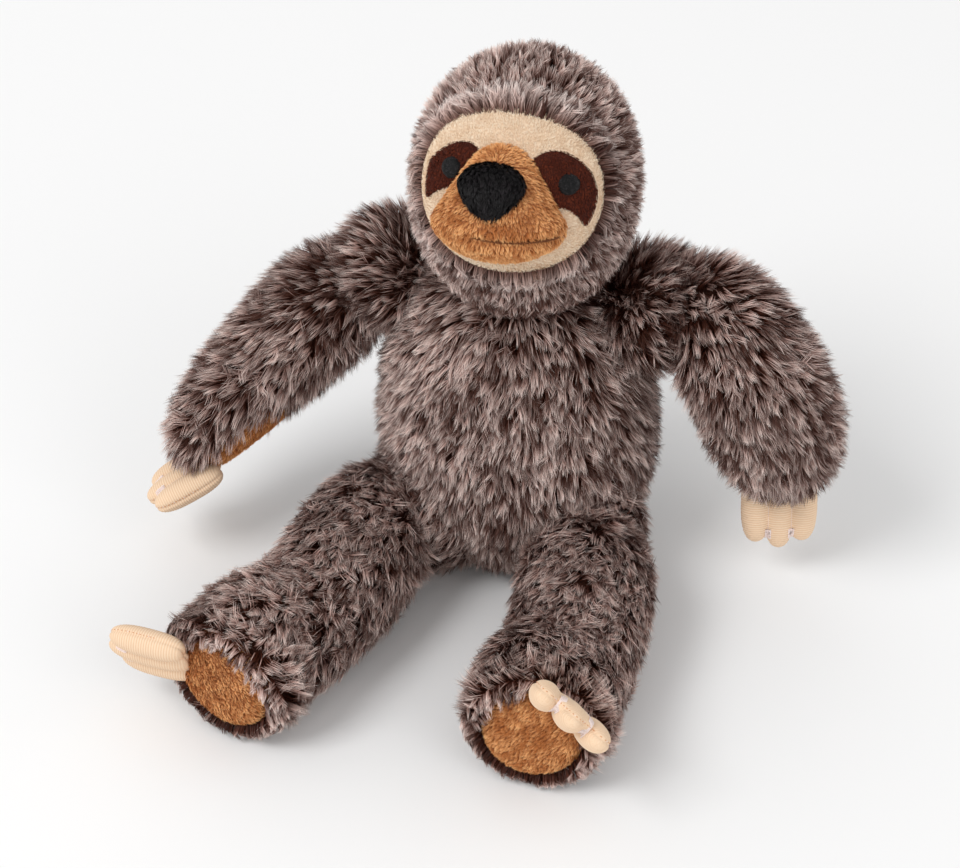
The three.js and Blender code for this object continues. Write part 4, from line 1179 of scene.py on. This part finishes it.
def near_mouth(roots):
    """Where the muzzle lies under the panel, the mouth's thread or the nose."""
    hidden = (depth_inside(roots, panel_tree) > 0.5) | (mouth_distance(roots) < 1.35)
    return hidden | (depth_inside(roots, nose_form.tree()) > -0.2)


def up_face(roots, flow):
    return unit(roots - face_point(0, -30, -2))


def down_muzzle(roots, flow):
    """Out from the nose and down."""
    return flow * 0.6 + unit(roots - face_point(-2, -60, 8))


def to_nose_tip(roots, flow):
    return unit(face_point(-2.9, -76, -9) - roots)


def nose_length(roots):
    """Longer towards the pointed tip."""
    return 2.3 + 2.6 * np.clip((face_point(-2.7, -68, 4) - roots) @ FACE_Z / 9, 0, 1)


nap = dict(width=0.19, clump_size=1.1, lean=(36, 68), clumping=0.5, spread=0.26, wander=0.5,
           tone_spread=(0.18, 0.18), painted_glint_share=0)
grow_hair("face_nap", panel_form, "head", "cream_velour", 6, up_face, shade=0.7, length=1.2,
          material="cream_pile", bare=under_muzzle, **nap)
grow_hair("muzzle_nap", muzzle_form, "head", "tan_velour", 7, down_muzzle, shade=0.54, length=2.3,
          material="tan_pile", bare=near_mouth, **nap)
grow_hair("nose_nap", nose_form, "head", "black_pile", 13, to_nose_tip, shade=0.28, length=nose_length,
          material="black_pile", bare=lambda roots: depth_inside(roots, muzzle_tree) > 0.2, width=0.18,
          clump_size=1.2, lean=(48, 80), clumping=0.45, spread=0.3, wander=0.3, painted_glint_share=0)
for label, face, body, slot, material, length in pads:
    grow_hair(label, face, body, slot, 7, with_flow, shade=0.42, length=length, material=material, **nap)

# ---- camera, floor and light ----

scene = bpy.context.scene
azimuth, elevation = math.radians(CAMERA_AZIMUTH), math.radians(CAMERA_ELEVATION)
toward = np.array([math.sin(azimuth) * math.cos(elevation), -math.cos(azimuth) * math.cos(elevation),
                   math.sin(elevation)])
lens = bpy.data.cameras.new("camera")
lens.lens = CAMERA_LENS
lens.sensor_width = CAMERA_SENSOR
lens.clip_end = 20
camera = add_object("camera", lens)
camera.location = Vector((CAMERA_TARGET + toward * CAMERA_DISTANCE) * MM)
camera.rotation_euler = Vector(toward).to_track_quat("Z", "Y").to_euler()
scene.camera = camera

floor_mesh = bpy.data.meshes.new("floor")
corners = [(-1, -1), (1, -1), (1, 1), (-1, 1)]
floor_mesh.from_pydata([(x * FLOOR_REACH, y * FLOOR_REACH, -FLOOR_DROP) for x, y in corners], [], [(0, 1, 2, 3)])
floor_material, _, floor_shader = new_material("floor_white", 0.95)
floor_shader.inputs["Base Color"].default_value = (FLOOR_TONE, FLOOR_TONE, FLOOR_TONE, 1)
floor_mesh.materials.append(floor_material)
add_object("floor", floor_mesh)


def area_light(name, power, size, place):
    data = bpy.data.lights.new(name, "AREA")
    data.energy = power
    data.size = size
    lamp = add_object(name, data)
    lamp.location = place
    lamp.rotation_euler = (Vector(place) - Vector(LIGHTS_TARGET)).to_track_quat("Z", "Y").to_euler()


area_light("key", **KEY_LIGHT)
area_light("fill", **FILL_LIGHT)
world = bpy.data.worlds.new("studio")
scene.world = world
world.use_nodes = True
background = world.node_tree.nodes["Background"]
background.inputs["Color"].default_value = (1, 1, 1, 1)
background.inputs["Strength"].default_value = WORLD_STRENGTH
scene.view_settings.view_transform = "Standard"
